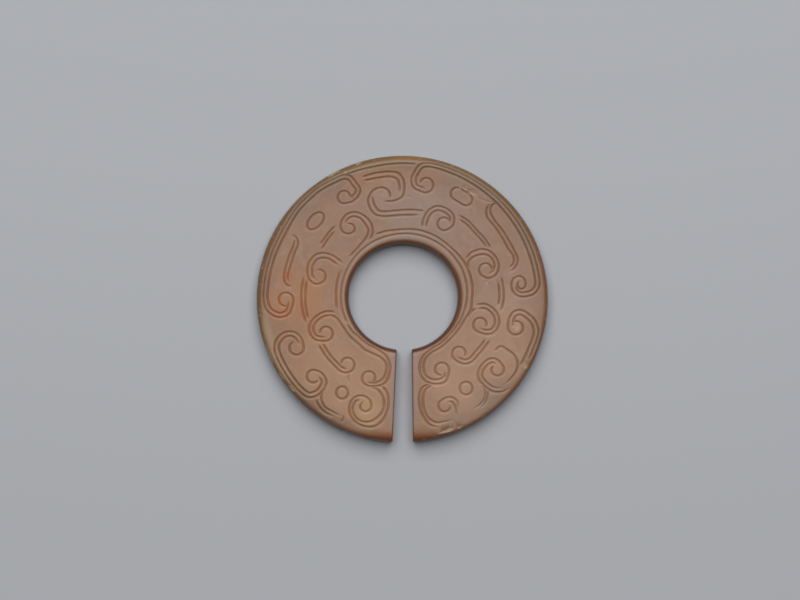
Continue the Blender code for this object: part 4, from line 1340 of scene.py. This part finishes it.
def line_object(name, drawn, height=0.0):
    """Bare edges from drawn lines, with the strength of the cut at each point."""
    points, edges, strengths = [], [], []
    for line, strength in drawn:
        first = len(points)
        points += [(x, y, height) for x, y in line]
        edges += [(i, i + 1) for i in range(first, len(points) - 1)]
        strengths += list(np.broadcast_to(strength, len(line)))
    made = new_object(name, points, edges)
    add_values(made, "strength", strengths)
    return made


wheel_lines = line_object("wheel_lines", cuts)
faded_cracks = []
for line, strength in crack_lines:
    run = along(line)
    faded_cracks.append((line, strength * np.clip(np.minimum(run, run[-1] - run) / CRACK_RUN_OUT, 0, 1)))
crack_edges = line_object("crack_lines", faded_cracks)
rim_part = ring_line(*SHOULDER_IN)[:DISC_COUNT]
shoulder = line_object("shoulder_line", [(rim_part, 1.0)], THICK - SHOULDER_DOWN)
print("line points:", *(len(thing.data.vertices) for thing in (wheel_lines, crack_edges, shoulder)))

# %% [markdown]
# The cutting tree is used twice, for the wheel cuts and for the fine lines,
# and the nicks come last, as they did on the real ring.

# %% Run the trees
NICKS = 230
LARGEST_NICK = 0.5
NICK_SCATTER = 0.25
SEED = 7
for drawn, wide, deep in ((wheel_lines, CUT_WIDE, CUT_DEEP), (crack_edges, CRACK_WIDE, CRACK_DEEP)):
    use_tree(stone, cutting, Lines=drawn, Cut_width=wide * MM, Cut_depth=deep * MM,
             Only_above=THICK / 2 * MM, Finish=jade)
use_tree(stone, nicking, Shoulder=shoulder, Nicks=NICKS, Largest=LARGEST_NICK * MM,
         Scatter=NICK_SCATTER * MM, Seed=SEED, Finish=jade)

carved = bpy.data.meshes.new_from_object(stone.evaluated_get(bpy.context.evaluated_depsgraph_get()))
carved.shade_smooth()
ring = bpy.data.objects.new("carved_ring", carved)
bpy.context.collection.objects.link(ring)
for helper in (stone, wheel_lines, crack_edges, shoulder):
    bpy.data.objects.remove(helper)
triangle_count = sum(len(f.vertices) - 2 for f in carved.polygons)
print("carved ring:", triangle_count, "triangles; open edges:", open_edges(carved))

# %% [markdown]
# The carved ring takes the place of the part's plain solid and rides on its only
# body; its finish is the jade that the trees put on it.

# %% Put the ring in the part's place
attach(ring, "root")
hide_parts("slit_ring")
for name, box in (("before", CAD_BOX), ("after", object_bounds())):
    print("box", name, "in millimetres:", [round(c / MM, 2) for corner in box for c in corner])

# %% [markdown]
# ## Floor, light and camera
#
# The ring lies on a plain pale floor: one large square with a matt finish, so
# that it takes the ring's soft shadow and nothing else.

# %% Floor
MATT = {"Base Color": rgb(172, 174, 178), "Roughness": 0.9, "Specular IOR Level": 0.1}
FLOOR_HALF = 900
corners = [(x * FLOOR_HALF, y * FLOOR_HALF, 0) for x, y in ((-1, -1), (1, -1), (1, 1), (-1, 1))]
floor = new_object("floor", corners, faces=[(0, 1, 2, 3)])
paper = bpy.data.materials.new("pale_floor")
paper.use_nodes = True
for name, value in MATT.items():
    paper.node_tree.nodes["Principled BSDF"].inputs[name].default_value = value
floor.data.materials.append(paper)
print("floor:", 2 * FLOOR_HALF * MM, "m square")

# %% [markdown]
# Small lamps would show as hard spots on the polish. One large soft light hangs
# over the ring instead, a little towards its upper edge, so that the flat face
# mirrors it as a veil and the edges that turn down towards the slit go dark.
# A faint even light from all round keeps the walls from going black.

# %% Lights
LIGHT_PLACE = (0.0, 0.4, 0.75)
LIGHT_SIZE = 0.9
LIGHT_POWER = 9.8
SKY_TONE = (0.95, 0.97, 1.0, 1.0)
SKY_POWER = 0.08
lamp = bpy.data.objects.new("overhead", bpy.data.lights.new("overhead", "AREA"))
lamp.data.size = LIGHT_SIZE
lamp.data.energy = LIGHT_POWER
lamp.location = LIGHT_PLACE
lamp.rotation_euler = (-Vector(LIGHT_PLACE)).to_track_quat("-Z", "Y").to_euler()
bpy.context.collection.objects.link(lamp)
world = bpy.data.worlds.new("studio")
bpy.context.scene.world = world
world.use_nodes = True
sky = world.node_tree.nodes["Background"].inputs
sky["Color"].default_value = SKY_TONE
sky["Strength"].default_value = SKY_POWER
bpy.context.scene.view_settings.view_transform = "Standard"
print("light:", LIGHT_POWER, "W at", round(Vector(LIGHT_PLACE).length, 2), "m")

# %% [markdown]
# The camera looks straight down through a long lens, so that the walls of the
# ring hardly show. Its height follows from how wide the view should be on the
# upper face.

# %% Camera
VIEW_WIDTH = 142.9
LENS = 100
SENSOR = 36
AIM = (-0.41, -0.16)
CLIP = (0.01, 10)
camera = bpy.data.objects.new("camera", bpy.data.cameras.new("camera"))
camera.data.lens = LENS
camera.data.sensor_width = SENSOR
camera.data.clip_start, camera.data.clip_end = CLIP
camera.location = (AIM[0] * MM, AIM[1] * MM, (VIEW_WIDTH * LENS / SENSOR + THICK) * MM)
bpy.context.collection.objects.link(camera)
bpy.context.scene.camera = camera
print("camera height:", round(camera.location.z, 4), "m")
